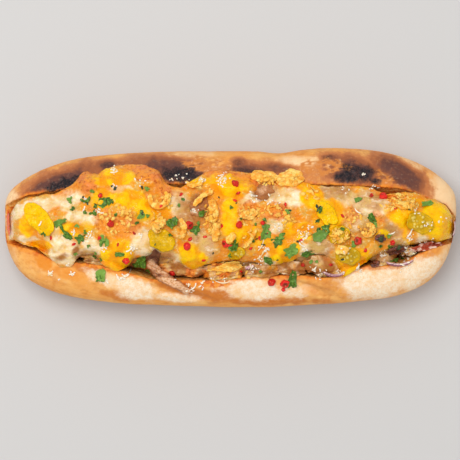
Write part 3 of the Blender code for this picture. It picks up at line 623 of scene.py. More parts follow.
# Spots of the crust: (x, y, half length, half width, turn, strength)
BAKED = (
    (-88, 25, 26, 7, 19, 1), (-52, 31.5, 26, 6.5, 5, 0.95),
    (-28, 31, 15, 7, -4, 1), (17, 30, 21, 6, -3, 0.85),
    (47, 27, 10, 4, 0, 0.45), (62, 31.5, 20, 7.5, -5, 0.9),
    (88, 28.5, 20, 8.5, -30, 1),
)
SMOKED = (
    (-91, 22, 17, 5, 21, 0.9), (-64, 33, 5, 3, 8, 0.8), (-35, 32, 12, 5, 0, 0.75),
    (-25, 27, 18, 6.5, -8, 1), (4, 34.5, 4, 3, 0, 0.7), (10, 29.5, 11, 3, -6, 0.8),
    (26, 31, 8, 2.6, 0, 0.7), (52, 36, 5, 2, 0, 0.6), (65, 27.5, 14, 7.5, -12, 0.95),
    (90, 28, 19, 6, -33, 0.75),
)
CHARRED = (
    (-88.5, 22.6, 9, 3.2, 22, 1), (-82, 25.5, 4, 2, 22, 0.9), (-64, 33.2, 3.6, 1.6, 15, 0.55),
    (-26, 27, 11.5, 4.4, -8, 1), (-18, 24.6, 7, 2.2, -10, 0.9), (4, 34.5, 3, 2, 0, 0.45),
    (8.5, 29.8, 8.5, 1.6, -8, 0.6), (60.5, 26.6, 7.5, 3.4, 6, 1), (69.5, 29, 7, 4.6, -22, 1),
    (62, 31.5, 5, 1.8, -20, 0.8), (75, 24.6, 4.5, 1.8, -20, 0.9), (51.5, 36.8, 3.5, 1.2, 0, 0.5),
)
CRACKED = (
    (-12, 32.5, 13, 5, -6, 1), (-4, 27, 8, 3, -10, 0.8), (46, 31.5, 12, 4.4, 4, 0.95),
    (60, 31.4, 6, 1.6, -12, 0.9), (82, 24.5, 8, 3.4, -42, 1), (40, 25.5, 9, 2.6, -6, 0.6),
)
FLOURED = (
    (-62, -28.4, 13, 3.4, -20, 1), (-50, -32.6, 13, 5, -14, 0.95), (-30, -37, 14, 2, -6, 0.8),
    (12, -32.4, 17, 5.4, -6, 1), (33, -33, 10, 4.4, 0, 0.8), (76, -29, 19, 8.6, 8, 1),
    (96, -24, 15, 8, 26, 1),
)
# Pale crust at the tips and edges; the thin spot on the far rim at x 36 is a painted highlight
PALED = (
    (114, 15, 8, 18, 25, 1), (115, -14, 5, 7, -30, 0.8), (-116, 13.5, 5.5, 7.5, -20, 1),
    (36, 34.8, 13, 2.8, 0, 0.8), (94, 37, 16, 4, -30, 0.7), (-116, -14, 4, 10, 20, 0.4),
    (-96, -24, 10, 5, -20, 0.2), (-20, 38.5, 14, 2, 0, 0.5),
)
GREASED = (
    (-97.5, -17.5, 4.5, 6.5, 20, 0.8), (-86, -24, 9, 3.4, -18, 0.6), (41.5, -34, 5, 3.4, 0, 0.35),
    (30, -22, 9, 2, 0, 0.5),
)
BROWNED = (
    (-30, -30, 19, 3.4, -22, 1), (-10, -35.5, 16, 3.4, -4, 0.9), (20, -38.6, 34, 2.2, 0, 0.8),
    (-60, -35.8, 9, 2.4, -16, 0.7), (48, -30, 9, 7, -14, 0.45), (-74, -21.8, 9, 2.6, -14, 0.8),
)
TOASTED = (
    (104, -13.6, 12, 2.6, 24, 0.35), (83, -20.5, 12, 1.6, 5, 0.6), (-110, 11.6, 7, 1.6, 14, 1),
    (-34, -27, 17, 1.8, -10, 0.9), (-113, -8.8, 6, 1.6, -12, 1), (-104, -13, 9, 1.8, -16, 0.6),
    (-115, 9, 3, 2.6, 20, 0.7), (-60, -22, 22, 1.6, -12, 0.8), (-10, -29.5, 12, 2, 0, 0.8),
)
# Shallow scores of the crust: (x1, y1, x2, y2)
SCORED = ((-44, -26.5, -8, -41.5), (30, -26, 60, -41.5))
SCORE_HALF_WIDTH = 1.4
SCORE_SHARE = 0.45


def lip_lines(x):
    """The near lip, the middle of the cut and the far lip, kept inside the outline."""
    axis = axis_y(x)
    low, high = axis - half_width(x, -1), axis + half_width(x, 1)
    margin = LIP_INSET * (high - low)
    near = smooth_through(NEAR_LIP, x) + 0.45 * grain(x, 0.0, 0.0, 4.5, 21.0)
    far = smooth_through(FAR_LIP, x) + 0.55 * grain(x, 0.0, 0.0, 4.5, 33.0)
    near = np.maximum(near + 0.25 * grain(x, 0.0, 0.0, 1.7, 23.0), low + margin)
    far = np.minimum(far + 0.3 * grain(x, 0.0, 0.0, 1.7, 35.0), high - margin)
    inset = MIDDLE_INSET * (far - near)
    return near, np.clip(smooth_through(SAUSAGE_LINE, x), near + inset, far - inset), far


def side_profile(x, side, lip, middle):
    """Half of the roll's section: y, z and the signed distance past the lip.

    It runs from under the middle, up the outer skin, over the lip and down into the cut.
    """
    axis = float(axis_y(x))
    offset = side * (lip - axis)
    width = float(half_width(x, side * offset))
    share = min(1.0, abs(offset) / max(width, 0.001)) ** (ROUNDNESS / 2.0)
    angle = np.linspace(-math.pi / 2.0, math.acos(math.copysign(share, offset)), SIDE_SAMPLES)
    across, up = np.cos(angle), np.sin(angle)
    reach = np.abs(across) ** (2.0 / ROUNDNESS)
    y = axis + side * np.sign(across) * half_width(x, side * across) * reach
    under = WIDEST_Z - DROP * taper(x, HEIGHT_TAPER) * np.abs(up) ** (2.0 / ROUNDNESS)
    z = np.maximum(0.0, np.where(up > 0.0, dome(x, y), under))

    power = NEAR_WALL_POWER if side < 0 else FAR_WALL_POWER
    floor = float(smooth_through(CUT_FLOOR, x))
    top = max(floor, z[-1] - LIP_EDGE)
    inward = np.linspace(1.0, 0.0, SIDE_SAMPLES)
    y = np.concatenate((y, middle + (lip - middle) * inward))
    z = np.concatenate((z, floor + (top - floor) * inward**power))

    length = np.concatenate(([0.0], np.cumsum(np.hypot(np.diff(y), np.diff(z)))))
    lip_at = length[SIDE_SAMPLES - 1]
    even = np.linspace(0.0, length[-1], max(PROFILE_FEWEST, int(length[-1] / PROFILE_STEP)))
    y, z = rounded(np.interp(even, length, y)), rounded(np.interp(even, length, z))
    inner = even - lip_at
    weight = np.where((inner < 0.0) & (z < WIDEST_Z + 4.0), UNDER_DENSITY, 1.0)
    weight = np.where((inner > 0.0) & (np.abs(y - middle) < SAUSAGE_RADIUS - 3.0), HIDDEN_DENSITY, weight)
    spread = np.concatenate(([0.0], np.cumsum((weight[1:] + weight[:-1]) / 2.0)))
    steps = np.linspace(0.0, spread[-1], ROLL_AROUND // 2 + 1)
    return [np.interp(steps, spread, values) for values in (y, z, inner)]


def rounded(values):
    """Rounds the corners of an evenly spaced line and keeps its ends."""
    reach = min(8, len(values) // 6)
    sigma = min(LIP_ROUNDING / PROFILE_STEP, reach / 2.5)
    kernel = np.exp(-0.5 * (np.arange(-reach, reach + 1) / sigma) ** 2)
    head = 2.0 * values[0] - values[reach:0:-1]
    tail = 2.0 * values[-1] - values[-2:-reach - 2:-1]
    return np.convolve(np.concatenate((head, values, tail)), kernel / kernel.sum(), mode="valid")


def split_relief(x, y, split_depth):
    """Grooves of the splits in the crust and of the shallow scores, in millimetres."""
    relief = np.zeros(np.shape(x))
    lines = [(line, split_depth, SPLIT_HALF_WIDTH) for line in CRUST_SPLITS]
    lines += [(line, SCORE_SHARE * split_depth, SCORE_HALF_WIDTH) for line in SCORED]
    for (x1, y1, x2, y2), depth, wide in lines:
        length = math.hypot(x2 - x1, y2 - y1)
        along = ((x - x1) * (x2 - x1) + (y - y1) * (y2 - y1)) / length
        across = ((y - y1) * (x2 - x1) - (x - x1) * (y2 - y1)) / length
        across = across + 0.7 * grain(x, y, 0.0, 4.0, 51.0)
        fullness = np.sqrt(np.clip(1.0 - (2.0 * along / length - 1.0) ** 2, 0.0, 1.0))
        groove = np.clip(1.0 - (across / (1.3 * wide * np.maximum(fullness, 0.05))) ** 2, 0.0, 1.0) ** 1.5
        relief = relief - depth * fullness * groove
    return relief


def build_roll(material, split_depth):
    """Bends the rings of a ball round the roll's section, with its cut."""
    bm = bmesh.new()
    unit_tube(bm, ROLL_AROUND, ROLL_RINGS)
    obj = new_object("baked_roll", bm, material)
    u, across, up = points_of(obj, 1.0)
    ring = np.round(np.arccos(np.clip(-u, -1.0, 1.0)) / math.pi * ROLL_RINGS).astype(int)
    around = np.mod(np.arctan2(up, across) + math.pi / 2.0, 2.0 * math.pi) / (2.0 * math.pi)
    around = np.mod(np.round(around * ROLL_AROUND).astype(int), ROLL_AROUND)
    half = ROLL_AROUND // 2
    ring_x = -HALF_LENGTH * np.cos(math.pi * np.arange(ROLL_RINGS + 1) / ROLL_RINGS)
    near, middle, far = lip_lines(ring_x)
    sections = np.zeros((ROLL_RINGS + 1, 3, ROLL_AROUND))
    for k, x in enumerate(ring_x):
        if k in (0, ROLL_RINGS):
            sections[k] = np.array([[float(axis_y(x))], [WIDEST_Z], [0.0]])
            continue
        sections[k, :, :half + 1] = side_profile(x, 1, far[k], middle[k])
        near_half = np.array(side_profile(x, -1, near[k], middle[k]))
        sections[k, :, half + 1:] = near_half[:, half - 1:0:-1]
    x = ring_x[ring]
    y, z, inner = sections[ring, :, around].T
    move_points(obj, x, y, z)
    face_outwards(obj)
    dress_roll(obj, x, y, z, inner, split_depth)
    return obj


def dress_roll(obj, x, y, z, inner, split_depth):
    """Fine relief of the crust and the crumb, and the masks that the finish reads."""
    crumb = ease(0.0, 1.6, inner)
    outer = 1.0 - crumb
    upper = ease(WIDEST_Z + 2.0, WIDEST_Z + 9.0, z) * outer
    charred = blotch(x, y, CHARRED, 0.5, 4.0, 2.0, 0.45) * upper
    cracked = blotch(x, y, CRACKED, 0.4, 4.0, 3.0) * upper
    floured = blotch(x, y, FLOURED, 0.35, 6.0, 4.0, 0.5) * ease(WIDEST_Z - 8.0, WIDEST_Z + 2.0, z) * outer
    blisters = cells(x, y, z, 1.7, 5.0)
    crazed = np.abs(grain(x, y * 2.2, z, 3.6, 6.0))
    relief = 0.3 * grain(x, y, z, 17.0, 7.0) + 0.12 * grain(x, y * 1.6, z, 3.4, 8.0) * outer
    relief = relief + charred * (0.7 * blisters - 0.3) + cracked * (1.0 * np.minimum(crazed, 0.5) - 0.25)
    relief = relief + crumb * (0.45 * grain(x, y, z, 3.2, 9.0) + 0.3 * grain(x, y, z, 1.5, 10.0))
    relief = relief + split_relief(x, y, split_depth) * upper
    relief = ease(0.1, 4.0, z) * (relief - SIDE_INSET * ease(WIDEST_Z + 8.0, WIDEST_Z, z) * outer)
    x, y, z = raise_relief(obj, relief * ease(119.5, 117.0, np.abs(x)))
    x = np.clip(x, TIP_INSET - HALF_LENGTH, HALF_LENGTH - TIP_INSET)
    move_points(obj, x, y, z)
    at_tip = ease(108.0, 115.0, np.abs(x))
    # Pale crust, and a painted highlight on the far rim
    paled = blotch(x, y, PALED, 0.4, 8.0, 16.0, 0.6) * outer * (0.8 + 0.4 * grain(x, y, z, 6.0, 17.0))
    paled = paled * np.maximum(ease(WIDEST_Z - 8.0, WIDEST_Z + 6.0, z), 0.8 * at_tip)
    heat = 0.62 * blotch(x, y, BAKED, 0.25, 9.0, 1.0, 0.55) + 0.5 * blotch(x, y, SMOKED, 0.3, 6.0, 14.0, 0.5)
    calm = np.maximum(ease(104.0, 112.0, x), ease(-109.0, -114.0, x) * (y > 3.0))
    at_lip = np.exp(-((inner / 2.0) ** 2)) * (0.55 + 0.45 * ease(-0.3, 0.4, grain(x, y, 0.0, 7.0, 12.0)))
    at_lip = at_lip * (1.0 - 0.6 * calm)
    toasted = blotch(x, y, TOASTED, 0.3, 4.0, 13.0) * np.maximum(outer, at_tip)
    set_masks(
        obj, crumb=crumb, baked=heat * upper * (1.0 - 0.8 * paled), paled=paled,
        charred=charred * (0.75 + 0.25 * blisters), cracked=cracked * ease(0.5, 0.12, crazed),
        floured=floured, greased=blotch(x, y, GREASED, 0.4, 4.0, 11.0) * outer,
        browned=blotch(x, y, BROWNED, 0.35, 6.0, 15.0) * outer, toasted=np.maximum(toasted, at_lip),
        rim=np.clip(1.0 - (z - WIDEST_Z) / 11.0, 0.0, 1.0) * ease(3.0, 14.0, z) * outer,
        under=ease(7.0, 0.5, z) * outer,
    )


def crust_finish(look):
    f = Finish("Baked crust")
    slow, fine, speck = f.noise(14.0, 3.0), f.noise(2.2, 4.0, 0.6), f.noise(0.7, 2.0)
    streak = f.noise(2.4, 4.0, 0.6, (0.3, 1.0, 1.0))
    gold = f.tint(look.crust_gold, look.crust_pale, slow, 0.35, 0.65)
    gold = f.tint(gold, look.crust_deep, streak, 0.45, 0.75, 0.55)
    gold = f.mix(f.times(f.ragged(f.mask("rim"), 3.0, 0.5, 0.45), 0.8), gold, look.crust_rim)
    gold = f.tint(gold, look.crust_brown, f.noise(5.0, 5.0, 0.65), 0.48, 0.7, 0.45)
    brown = f.tint(look.crust_deep, look.crust_brown, fine, 0.35, 0.7)
    base = f.cover(gold, brown, "browned", 3.0, 0.8, 0.48)
    # Paler crust, and the painted highlight on the far rim
    base = f.cover(base, look.crust_light, "paled", 4.0, 0.7, 0.48)
    warm = f.math("ADD", f.mask("baked"), f.times(f.math("SUBTRACT", fine, 0.5), 0.4))
    base = f.tint(base, look.baked_red, warm, 0.06, 0.36)
    base = f.tint(base, look.baked_brown, warm, 0.32, 0.66)
    base = f.tint(base, look.baked_dark, warm, 0.66, 1.05)
    crack = f.tint(look.crust_crack, look.crust_light, fine, 0.52, 0.72, 0.45)
    base = f.cover(base, crack, "cracked", 1.4, 0.9, 0.48)
    flour = f.tint(look.flour_white, look.flour_cream, fine, 0.35, 0.7)
    flour = f.tint(flour, look.crust_pale, speck, 0.5, 0.68, 0.45)
    flour = f.tint(flour, look.crust_pale, slow, 0.48, 0.7, 0.6)
    base = f.cover(base, flour, "floured", 2.0, 1.1, 0.48)
    base = f.cover(base, look.crust_grease, "greased", 2.0, 0.7, 0.45)
    toast = f.tint(look.toast_gold, look.toast_deep, fine, 0.4, 0.65)
    toasted = f.ragged(f.mask("toasted"), 1.5, 0.7, 0.45)
    base = f.mix(toasted, base, toast)
    under = f.tint(look.under_brown, look.flour_cream, fine, 0.3, 0.75, 0.55)
    base = f.cover(base, under, "under", 3.0, 0.4, 0.4)
    # The crumb is painted darker in its pores: painted shade in the holes
    pores = f.texture("Voronoi", 2.0)["Distance"]
    inside = f.tint(look.crumb_shade, look.crumb_cream, pores, 0.25, 0.6)
    inside = f.tint(inside, look.toast_gold, fine, 0.42, 0.65)
    inside = f.mix(toasted, inside, toast)
    base = f.mix(f.mask("crumb"), base, inside)
    coal = f.tint(look.char_black, look.char_brown, speck, 0.5, 0.72, 0.9)
    base = f.cover(base, coal, "charred", 1.2, 1.0, 0.48)
    bump = f.math("ADD", f.times(fine, 0.7), f.times(speck, 0.3))
    roughness = f.math("SUBTRACT", 0.62, f.times(f.mask("charred"), 0.25))
    return f.finish(base, bump, 0.35, roughness, {"Specular IOR Level": 0.2})


# ---------------------------------------------------------------- the sausage

# Its skin's facets around and along
SAUSAGE_AROUND = 90
SAUSAGE_RINGS = 240
# Where melted cheese left a thin film on the skin
FILMED = (
    (-29, -19.5, 9, 3, -8, 1), (-15, -22, 6, 3, 0, 0.9), (11, -20.5, 8, 3.4, 0, 1),
    (27, -21, 8, 2.6, 0, 0.9), (40, -17, 6, 3, 0, 0.8), (52, -15, 4, 4, 0, 0.6),
    (86, -12, 8, 3, 8, 0.8), (-73, -17, 6, 2, 0, 0.8),
)


def build_sausage(material):
    bm = bmesh.new()
    unit_tube(bm, SAUSAGE_AROUND, SAUSAGE_RINGS)
    obj = new_object("grilled_sausage", bm, material)
    u, across, up = points_of(obj, 1.0)
    x, angle = SAUSAGE_HALF_LENGTH * np.clip(u, -1.0, 1.0), np.arctan2(up, across)
    radius = sausage_radius(x)
    y = smooth_through(SAUSAGE_LINE, x) + radius * np.cos(angle)
    move_points(obj, x, y, SAUSAGE_Z + radius * np.sin(angle))
    face_outwards(obj)
    x, y, z = points_of(obj)
    film = blotch(x, y, FILMED, 0.4, 4.0, 64.0)
    wrinkles = 0.3 * grain(x / 2.5, y, z, 2.6, 61.0) + 0.4 * grain(x, y, z, 6.0, 62.0)
    raise_relief(obj, wrinkles - 0.3 + 0.5 * film * grain(x, y, z, 2.2, 65.0))
    set_masks(obj, seared=ease(0.05, 0.45, grain(x, y, z, 7.0, 63.0)), filmed=film)
    return obj


def sausage_finish(look):
    f = Finish("Grilled sausage")
    slow, fine = f.noise(5.0, 3.0), f.noise(1.6, 4.0, 0.6)
    skin = f.tint(look.sausage_skin, look.sausage_gold, slow, 0.35, 0.65)
    skin = f.cover(skin, look.sausage_dark, "seared", 2.0, 0.8, 0.45)
    skin = f.tint(skin, look.sausage_dark, fine, 0.5, 0.7, 0.8)
    skin = f.tint(skin, look.sausage_pale, fine, 0.45, 0.32, 0.8)
    film = f.tint(look.clear_pink, look.cheese_straw, fine, 0.4, 0.65)
    skin = f.cover(skin, film, "filmed", 1.8, 0.9, 0.45)
    return f.finish(skin, fine, 0.45, (0.18, 0.4), oily(look, 0.1, 0.15, 0.35))


# ---------------------------------------------------------------- the cheese

# The melt's grid, the share of its steps that is even, and how much its two ends rise
MELT_COLUMNS = 420
MELT_ROWS = 100
MELT_EVEN_COLUMNS = 0.7
MELT_EVEN_ROWS = 0.55
MELT_END_RISE = 2.2

# Areas of the melt: (x, y, half length, half width, turn, strength)
YELLOW = (
    (-61, 26, 11, 5, 5, 1), (-51.5, 14, 10, 6, -10, 1), (-83.5, -1, 6, 4, 0, 0.9),
    (-106, 1, 4.2, 6, 10, 0.9), (-99, -9, 7, 2.4, -10, 0.95), (-59, -14, 7.5, 8.5, 10, 1),
    (-45.5, 8, 5, 5, 0, 0.8), (-20, -15.5, 8, 6.5, -35, 1), (-36, 8, 5, 4, 0, 0.9),
    (-2, 21, 11, 6, -5, 1), (-17, 23.5, 8, 2.2, 10, 0.9), (-0.5, 6.5, 5, 8, 0, 0.9),
    (4.5, -3, 10, 6, 0, 0.95), (17, -6.5, 6, 4, 0, 0.8), (43, 14.5, 7, 6, -20, 0.95),
    (51, 6, 8, 9, 0, 1), (28, -13, 8, 7, 0, 1), (35, -2, 8, 5, 0, 0.9),
    (64, -17.5, 10, 5.5, 15, 1), (60, -23, 5, 4, 0, 1), (90.5, 6, 9, 6.5, -15, 1),
    (109, 4, 10.5, 11, -10, 1), (-66, 15, 7, 6, 0, 0.8), (-75, 0, 4, 3, 0, 0.6),
    (40, 21, 6, 2.4, 0, 0.8), (95, 14, 8, 2, -10, 0.8), (79, -4, 4, 3, 0, 0.8),
    (94, -4, 4, 6, 0, 0.7),
)
CREAM = (
    (-101, 10.5, 14, 4.6, 12, 1), (-84, 14, 7, 5.5, 20, 0.85), (-77, 5, 8.5, 3.6, -8, 0.95),
    (-86.5, -12, 9.5, 7, -15, 1), (-71.5, -9.5, 6, 4, -10, 0.85), (-106, -6.5, 7, 2.4, -10, 0.8),
    (-92.5, -3.5, 5, 4, 30, 0.9), (-115.5, -1.5, 2, 7, 0, 0.8), (-43.5, -8, 9.5, 7, 0, 1),
    (-28, -18, 8, 3.6, -10, 0.9), (-29, 13, 5.5, 7.5, 10, 0.75), (11.5, 15, 7, 3, 10, 0.95),
    (30, 16, 10, 5, 0, 0.9), (20.5, -17.5, 3.5, 5, -15, 0.95), (39, -13, 5, 5, 0, 0.8),
    (98.8, -4.5, 8, 3.8, 8, 0.8), (24, 1, 5, 4.5, 0, 0.8), (72, 9, 9, 3.4, -20, 0.9),
    (80, 10, 7, 4, -40, 0.7), (-57, 20, 6, 2.4, 0, 0.6), (60, 15, 6, 5, 0, 0.7),
)
CLEAR = (
    (-15, -8.5, 7, 8, 20, 1), (54, 18, 10.5, 4.6, -5, 1), (72.5, 14, 9, 5, -15, 0.9),
    (66, 3, 7, 7, -20, 0.8), (84.5, 0, 5, 7, 10, 0.9), (46.4, -11, 6, 6, 0, 1),
    (88.5, -8, 7, 3, 5, 0.8), (-76, -15, 8, 3.4, 0, 0.95), (-24, 9, 6, 8, 15, 0.8),
    (20, 19, 5, 4, 0, 0.7), (-34, -14, 7, 2.4, 0, 0.6),
)
MEATY = (
    (-17, 9.5, 6, 8, 10, 0.9), (16.5, 19.5, 5, 4, 40, 0.8), (57, 20, 7, 2.6, -5, 0.6),
    (-88, -15.5, 4, 1.8, 20, 0.8), (-80.5, -11.5, 3, 1.6, 50, 0.9), (-34.5, -15, 5, 2, 0, 0.7),
    (82, -2, 4, 5, 0, 0.6),
)
GRATIN = (
    (-74.8, 23.8, 6, 5.6, 20, 1), (-44, 28.5, 11, 4.5, -10, 0.95), (-35, 22.5, 4, 7, 30, 0.8),
    (-66, 4.5, 5, 8, -10, 0.6), (-54, 2, 8, 6.5, 0, 0.65), (-4, 27.5, 10, 2.6, -5, 0.9),
    (-5, 24.5, 4, 2, 0, 0.8), (23.4, 8.5, 7, 4.5, 0, 0.9), (10, 9, 7, 5, 0, 0.8),
    (12, 23.5, 8, 3.5, -20, 0.8), (30, 23.5, 9, 2.6, -10, 0.6), (63, 6, 4, 5, 0, 0.6),
    (90, 14, 8, 2.6, -10, 0.9), (-84, 19, 5, 2.2, 30, 0.6), (76, 5.5, 4, 4, 0, 0.6),
)


def crowded(t, even):
    """The spacing t from -1 to 1, with only a share of it even and the rest near the ends."""
    return even * t + (1.0 - even) * np.sin(t * math.pi / 2.0)


def melt_relief(x, y, masks):
    """Lumps, melted strands and blisters of the cheese, in millimetres."""
    swirl = 3.0 * grain(x, y, 0.0, 14.0, 71.0)
    strands = 1.0 - np.abs(grain(x + y * 0.6 + swirl, (y - x * 0.6 - swirl) * 1.8, 0.0, 7.0, 72.0)) * 2.0
    lumps = 1.7 * (cells(x, y, 0.0, 9.0, 73.0) - 0.5) + 1.0 * grain(x, y, 0.0, 4.6, 74.0)
    fine = 0.42 * grain(x, y, 0.0, 1.9, 75.0) + 0.35 * (strands - 0.6)
    browned = 0.45 * (cells(x, y, 0.0, 3.4, 76.0) - 0.5) + 0.3 * grain(x, y, 0.0, 1.4, 77.0)
    smooth = np.maximum(masks["yellow"], masks["clear"])
    calm = 1.0 - 0.85 * np.maximum(ease(99.0, 106.0, x), ease(-106.0, -112.0, x))
    lumps = lumps * (1.0 - 0.35 * masks["clear"]) + fine * (1.0 - 0.6 * smooth)
    return calm * (lumps + browned * masks["gratin"])


# The areas' own layer of noise, and how softly they fade
MELT_AREAS = {
    "yellow": (YELLOW, 93, 0.3), "cream": (CREAM, 94, 0.3), "clear": (CLEAR, 92, 0.45),
    "meaty": (MEATY, 95, 0.65), "gratin": (GRATIN, 91, 0.4),
}


def melt_masks(x, y):
    return {
        name: blotch(x, y, spots, 0.3, 5.0, layer, fade)
        for name, (spots, layer, fade) in MELT_AREAS.items()
    }


def build_cheese(material):
    """The melt between its two uneven edges, from what it lies on up to its lumpy top."""

    def place(a, b):
        x = MELT_HALF_LENGTH * crowded(a, MELT_EVEN_COLUMNS)
        across = crowded(b, MELT_EVEN_ROWS)
        near = smooth_through(MELT_NEAR, x) + 0.8 * grain(x, 0.0, 0.0, 5.0, 81.0)
        far = smooth_through(MELT_FAR, x) + 0.9 * grain(x, 0.0, 0.0, 5.0, 82.0)
        near = near + 0.35 * grain(x, 0.0, 0.0, 1.8, 83.0)
        far = far + 0.35 * grain(x, 0.0, 0.0, 1.8, 84.0)
        y = near + (far - near) * (across + 1.0) / 2.0
        low = bed(x, y)
        fullness = np.sqrt(np.maximum(0.0, 1.0 - np.abs(across) ** MELT_EDGE_POWER))
        fullness = fullness * np.sqrt(np.maximum(0.0, 1.0 - np.abs(a) ** MELT_END_POWER))
        top = melt_height(x, y) + melt_relief(x, y, melt_masks(x, y)) * ease(0.0, 0.5, fullness)
        top = top + MELT_END_RISE * ease(100.0, 113.0, np.abs(x))
        above = top - low - MELT_THINNEST
        high = low + MELT_THINNEST + 0.5 * (above + np.sqrt(above * above + 0.6)) - 0.1
        rim = low + ease(104.0, 111.0, np.abs(x)) * np.maximum(0.0, dome(x, y) - 1.0 - low)
        return x, y, low, rim + MELT_RIM + (high - rim - MELT_RIM) * fullness

    obj = slab_object("cheese", MELT_COLUMNS, MELT_ROWS, place, material)[0]
    x, y, _ = points_of(obj)
    masks = melt_masks(x, y)
    # hollow is painted shade: it is high where the melt's relief is low, in its creases
    set_masks(obj, **masks, hollow=ease(0.2, -1.2, melt_relief(x, y, masks)))
    return obj


def cheese_finish(look):
    f = Finish("Melted cheese")
    slow, fine, streak = f.noise(6.0, 3.0), f.noise(1.6, 4.0, 0.6), f.noise(3.4, 3.0, 0.5, (1.0, 1.6, 1.0))
    yellow = f.tint(look.cheese_bright, look.cheese_deep, slow, 0.35, 0.65)
    yellow = f.tint(yellow, look.cheese_orange, fine, 0.5, 0.8, 0.5)
    cream = f.tint(look.cheese_white, look.cheese_cream, streak, 0.4, 0.62)
    cream = f.tint(cream, look.cheese_straw, slow, 0.5, 0.7, 0.8)
    # Painted shade: the melt is painted darker in its creases, towards orange on the yellow and golden
    # parts, straw on the cream and brown on the clear melt
    hollow = f.ragged(f.mask("hollow"), 1.5, 0.6, 0.48)
    shade, half_shade = f.times(hollow, 0.6), f.times(hollow, 0.4)
    yellow = f.mix(shade, yellow, look.cheese_orange)
    cream = f.mix(half_shade, cream, look.cheese_straw)
    base = f.tint(look.cheese_gold, look.cheese_straw, streak, 0.38, 0.6)
    base = f.tint(base, look.cheese_orange, fine, 0.5, 0.75, 0.6)
    base = f.tint(base, look.cheese_cream, fine, 0.46, 0.34, 0.7)
    base = f.mix(shade, base, look.cheese_orange)
    base = f.cover(base, cream, "cream", 2.4, 0.9, 0.45)
    clear = f.tint(look.clear_tan, look.clear_pink, slow, 0.35, 0.65)
    clear = f.tint(clear, look.cheese_white, streak, 0.52, 0.66, 0.6)
    clear = f.tint(clear, look.clear_brown, fine, 0.52, 0.7, 0.5)
    clear = f.mix(half_shade, clear, look.clear_brown)
    base = f.cover(base, clear, "clear", 2.4, 0.8, 0.48)
    meaty = f.tint(look.clear_brown, look.bacon_lean, fine, 0.35, 0.65)
    base = f.cover(base, meaty, "meaty", 2.0, 0.8, 0.48)
    browned = f.tint(look.gratin_gold, look.gratin_pink, slow, 0.4, 0.62)
    browned = f.tint(browned, look.gratin_brown, fine, 0.48, 0.68)
    base = f.cover(base, browned, "gratin", 1.6, 0.9, 0.45)
    base = f.cover(base, yellow, "yellow", 2.4, 0.9, 0.45)
    bump = f.math("ADD", f.times(fine, 0.6), f.times(streak, 0.8))
    gloss = f.ramp(fine, 0.3, 0.7, 0.16, 0.34)
    return f.finish(base, bump, 0.8, gloss, oily(look, 0.06, 0.06), soft(0.15, (1.0, 0.5, 0.2), 1.5))


# ---------------------------------------------------------------- draped slices


def disc(a, b):
    """The unit square's point (a, b) moved into the unit disc."""
    return a * np.sqrt(1.0 - b * b / 2.0), b * np.sqrt(1.0 - a * a / 2.0)


def draped(
    name, spec, thickness, uneven, ground, material, grid=40, sag=0.0, filled=None,
    power=6.0, wedge=0.0, crown=0.0,
):
    """A rounded slice lying on the pieces below it, given as (x, y, length, width, turn).

    A filled slice is a mass that rises to that depth below the roll's dome. A wedge is narrower
    at its near end, and a crown raises the middle. Returns the slice, which vertices are on top,
    and their own coordinates in the unit disc.
    """
    x, y, length, width, turn = spec
    cosine, sine = math.cos(math.radians(turn)), math.sin(math.radians(turn))

    def place(a, b):
        p, q = disc(a, b)
        edge = 1.0 + uneven * grain(x + 2.0 * p, y + 2.0 * q, 0.0, 1.0, 5.0)
        edge = edge + 0.25 * uneven * grain(x + 5.0 * p, y + 5.0 * q, 0.0, 1.0, 6.0)
        raised = crown * (1.0 - p * p - q * q)
        q = q * (1.0 - wedge * (1.0 - p) / 2.0)
        p, q = p * edge * length / 2.0, q * edge * width / 2.0
        px, py = x + p * cosine - q * sine, y + p * sine + q * cosine
        low = ground.heights(px, py) + GAP - sag
        rim = np.maximum(np.abs(a), np.abs(b))
        round_off = np.sqrt(np.maximum(0.0, 1.0 - rim**power))
        middle, half = low + thickness / 2.0, thickness / 2.0 * (0.35 + 0.65 * round_off)
        high = middle + half + raised
        if filled is not None:
            high = np.maximum(high, high + (dome(px, py) - filled - high) * round_off)
        return px, py, middle - half, high

    obj, a, b, upper = slab_object(name, grid, grid, place, material)
    return obj, upper, *disc(a, b)


# How yellow each pickle slice is, from olive green at 0 to lemon at 1, and how seedy
PICKLE_TONES = ((1, 0), (0.55, 0.5), (0.45, 0.8), (1, 0.3), (0.6, 0.9), (0.35, 1), (0.45, 1))


def build_pickles(material, ground, thickness):
    """Pickle slices, the plain ones yellow and the others with a seedy middle."""
    made = []
    for number, (spec, (lemon, share)) in enumerate(zip(PICKLES, PICKLE_TONES), 1):
        uneven = 0.2 if share else 0.08
        obj, upper, p, q = draped(f"pickle_{number}", spec, thickness, uneven, ground, material, 56, 0.7)
        x, y, z = points_of(obj)
        reach = np.hypot(p, q) + 0.25 * grain(x, y, z, 4.0, 100.0 + number)
        seedy = ease(0.95, 0.5, reach) * share
        seeds = ease(0.35, 0.8, cells(x, y, 0.0, 1.9, 101.0 + number)) * seedy
        relief = 0.35 * grain(x, y, z, 3.2, 104.0) + 0.45 * (seeds - 0.5) * seedy
        raise_relief(obj, relief + 0.12 * grain(x, y, z, 1.3, 103.0), upper)
        skin = ease(0.9, 1.0, np.hypot(p, q)) * share
        set_masks(obj, seeds=seeds, seedy=seedy, skin=skin, lemon=lemon)
        made.append(obj)
    return made


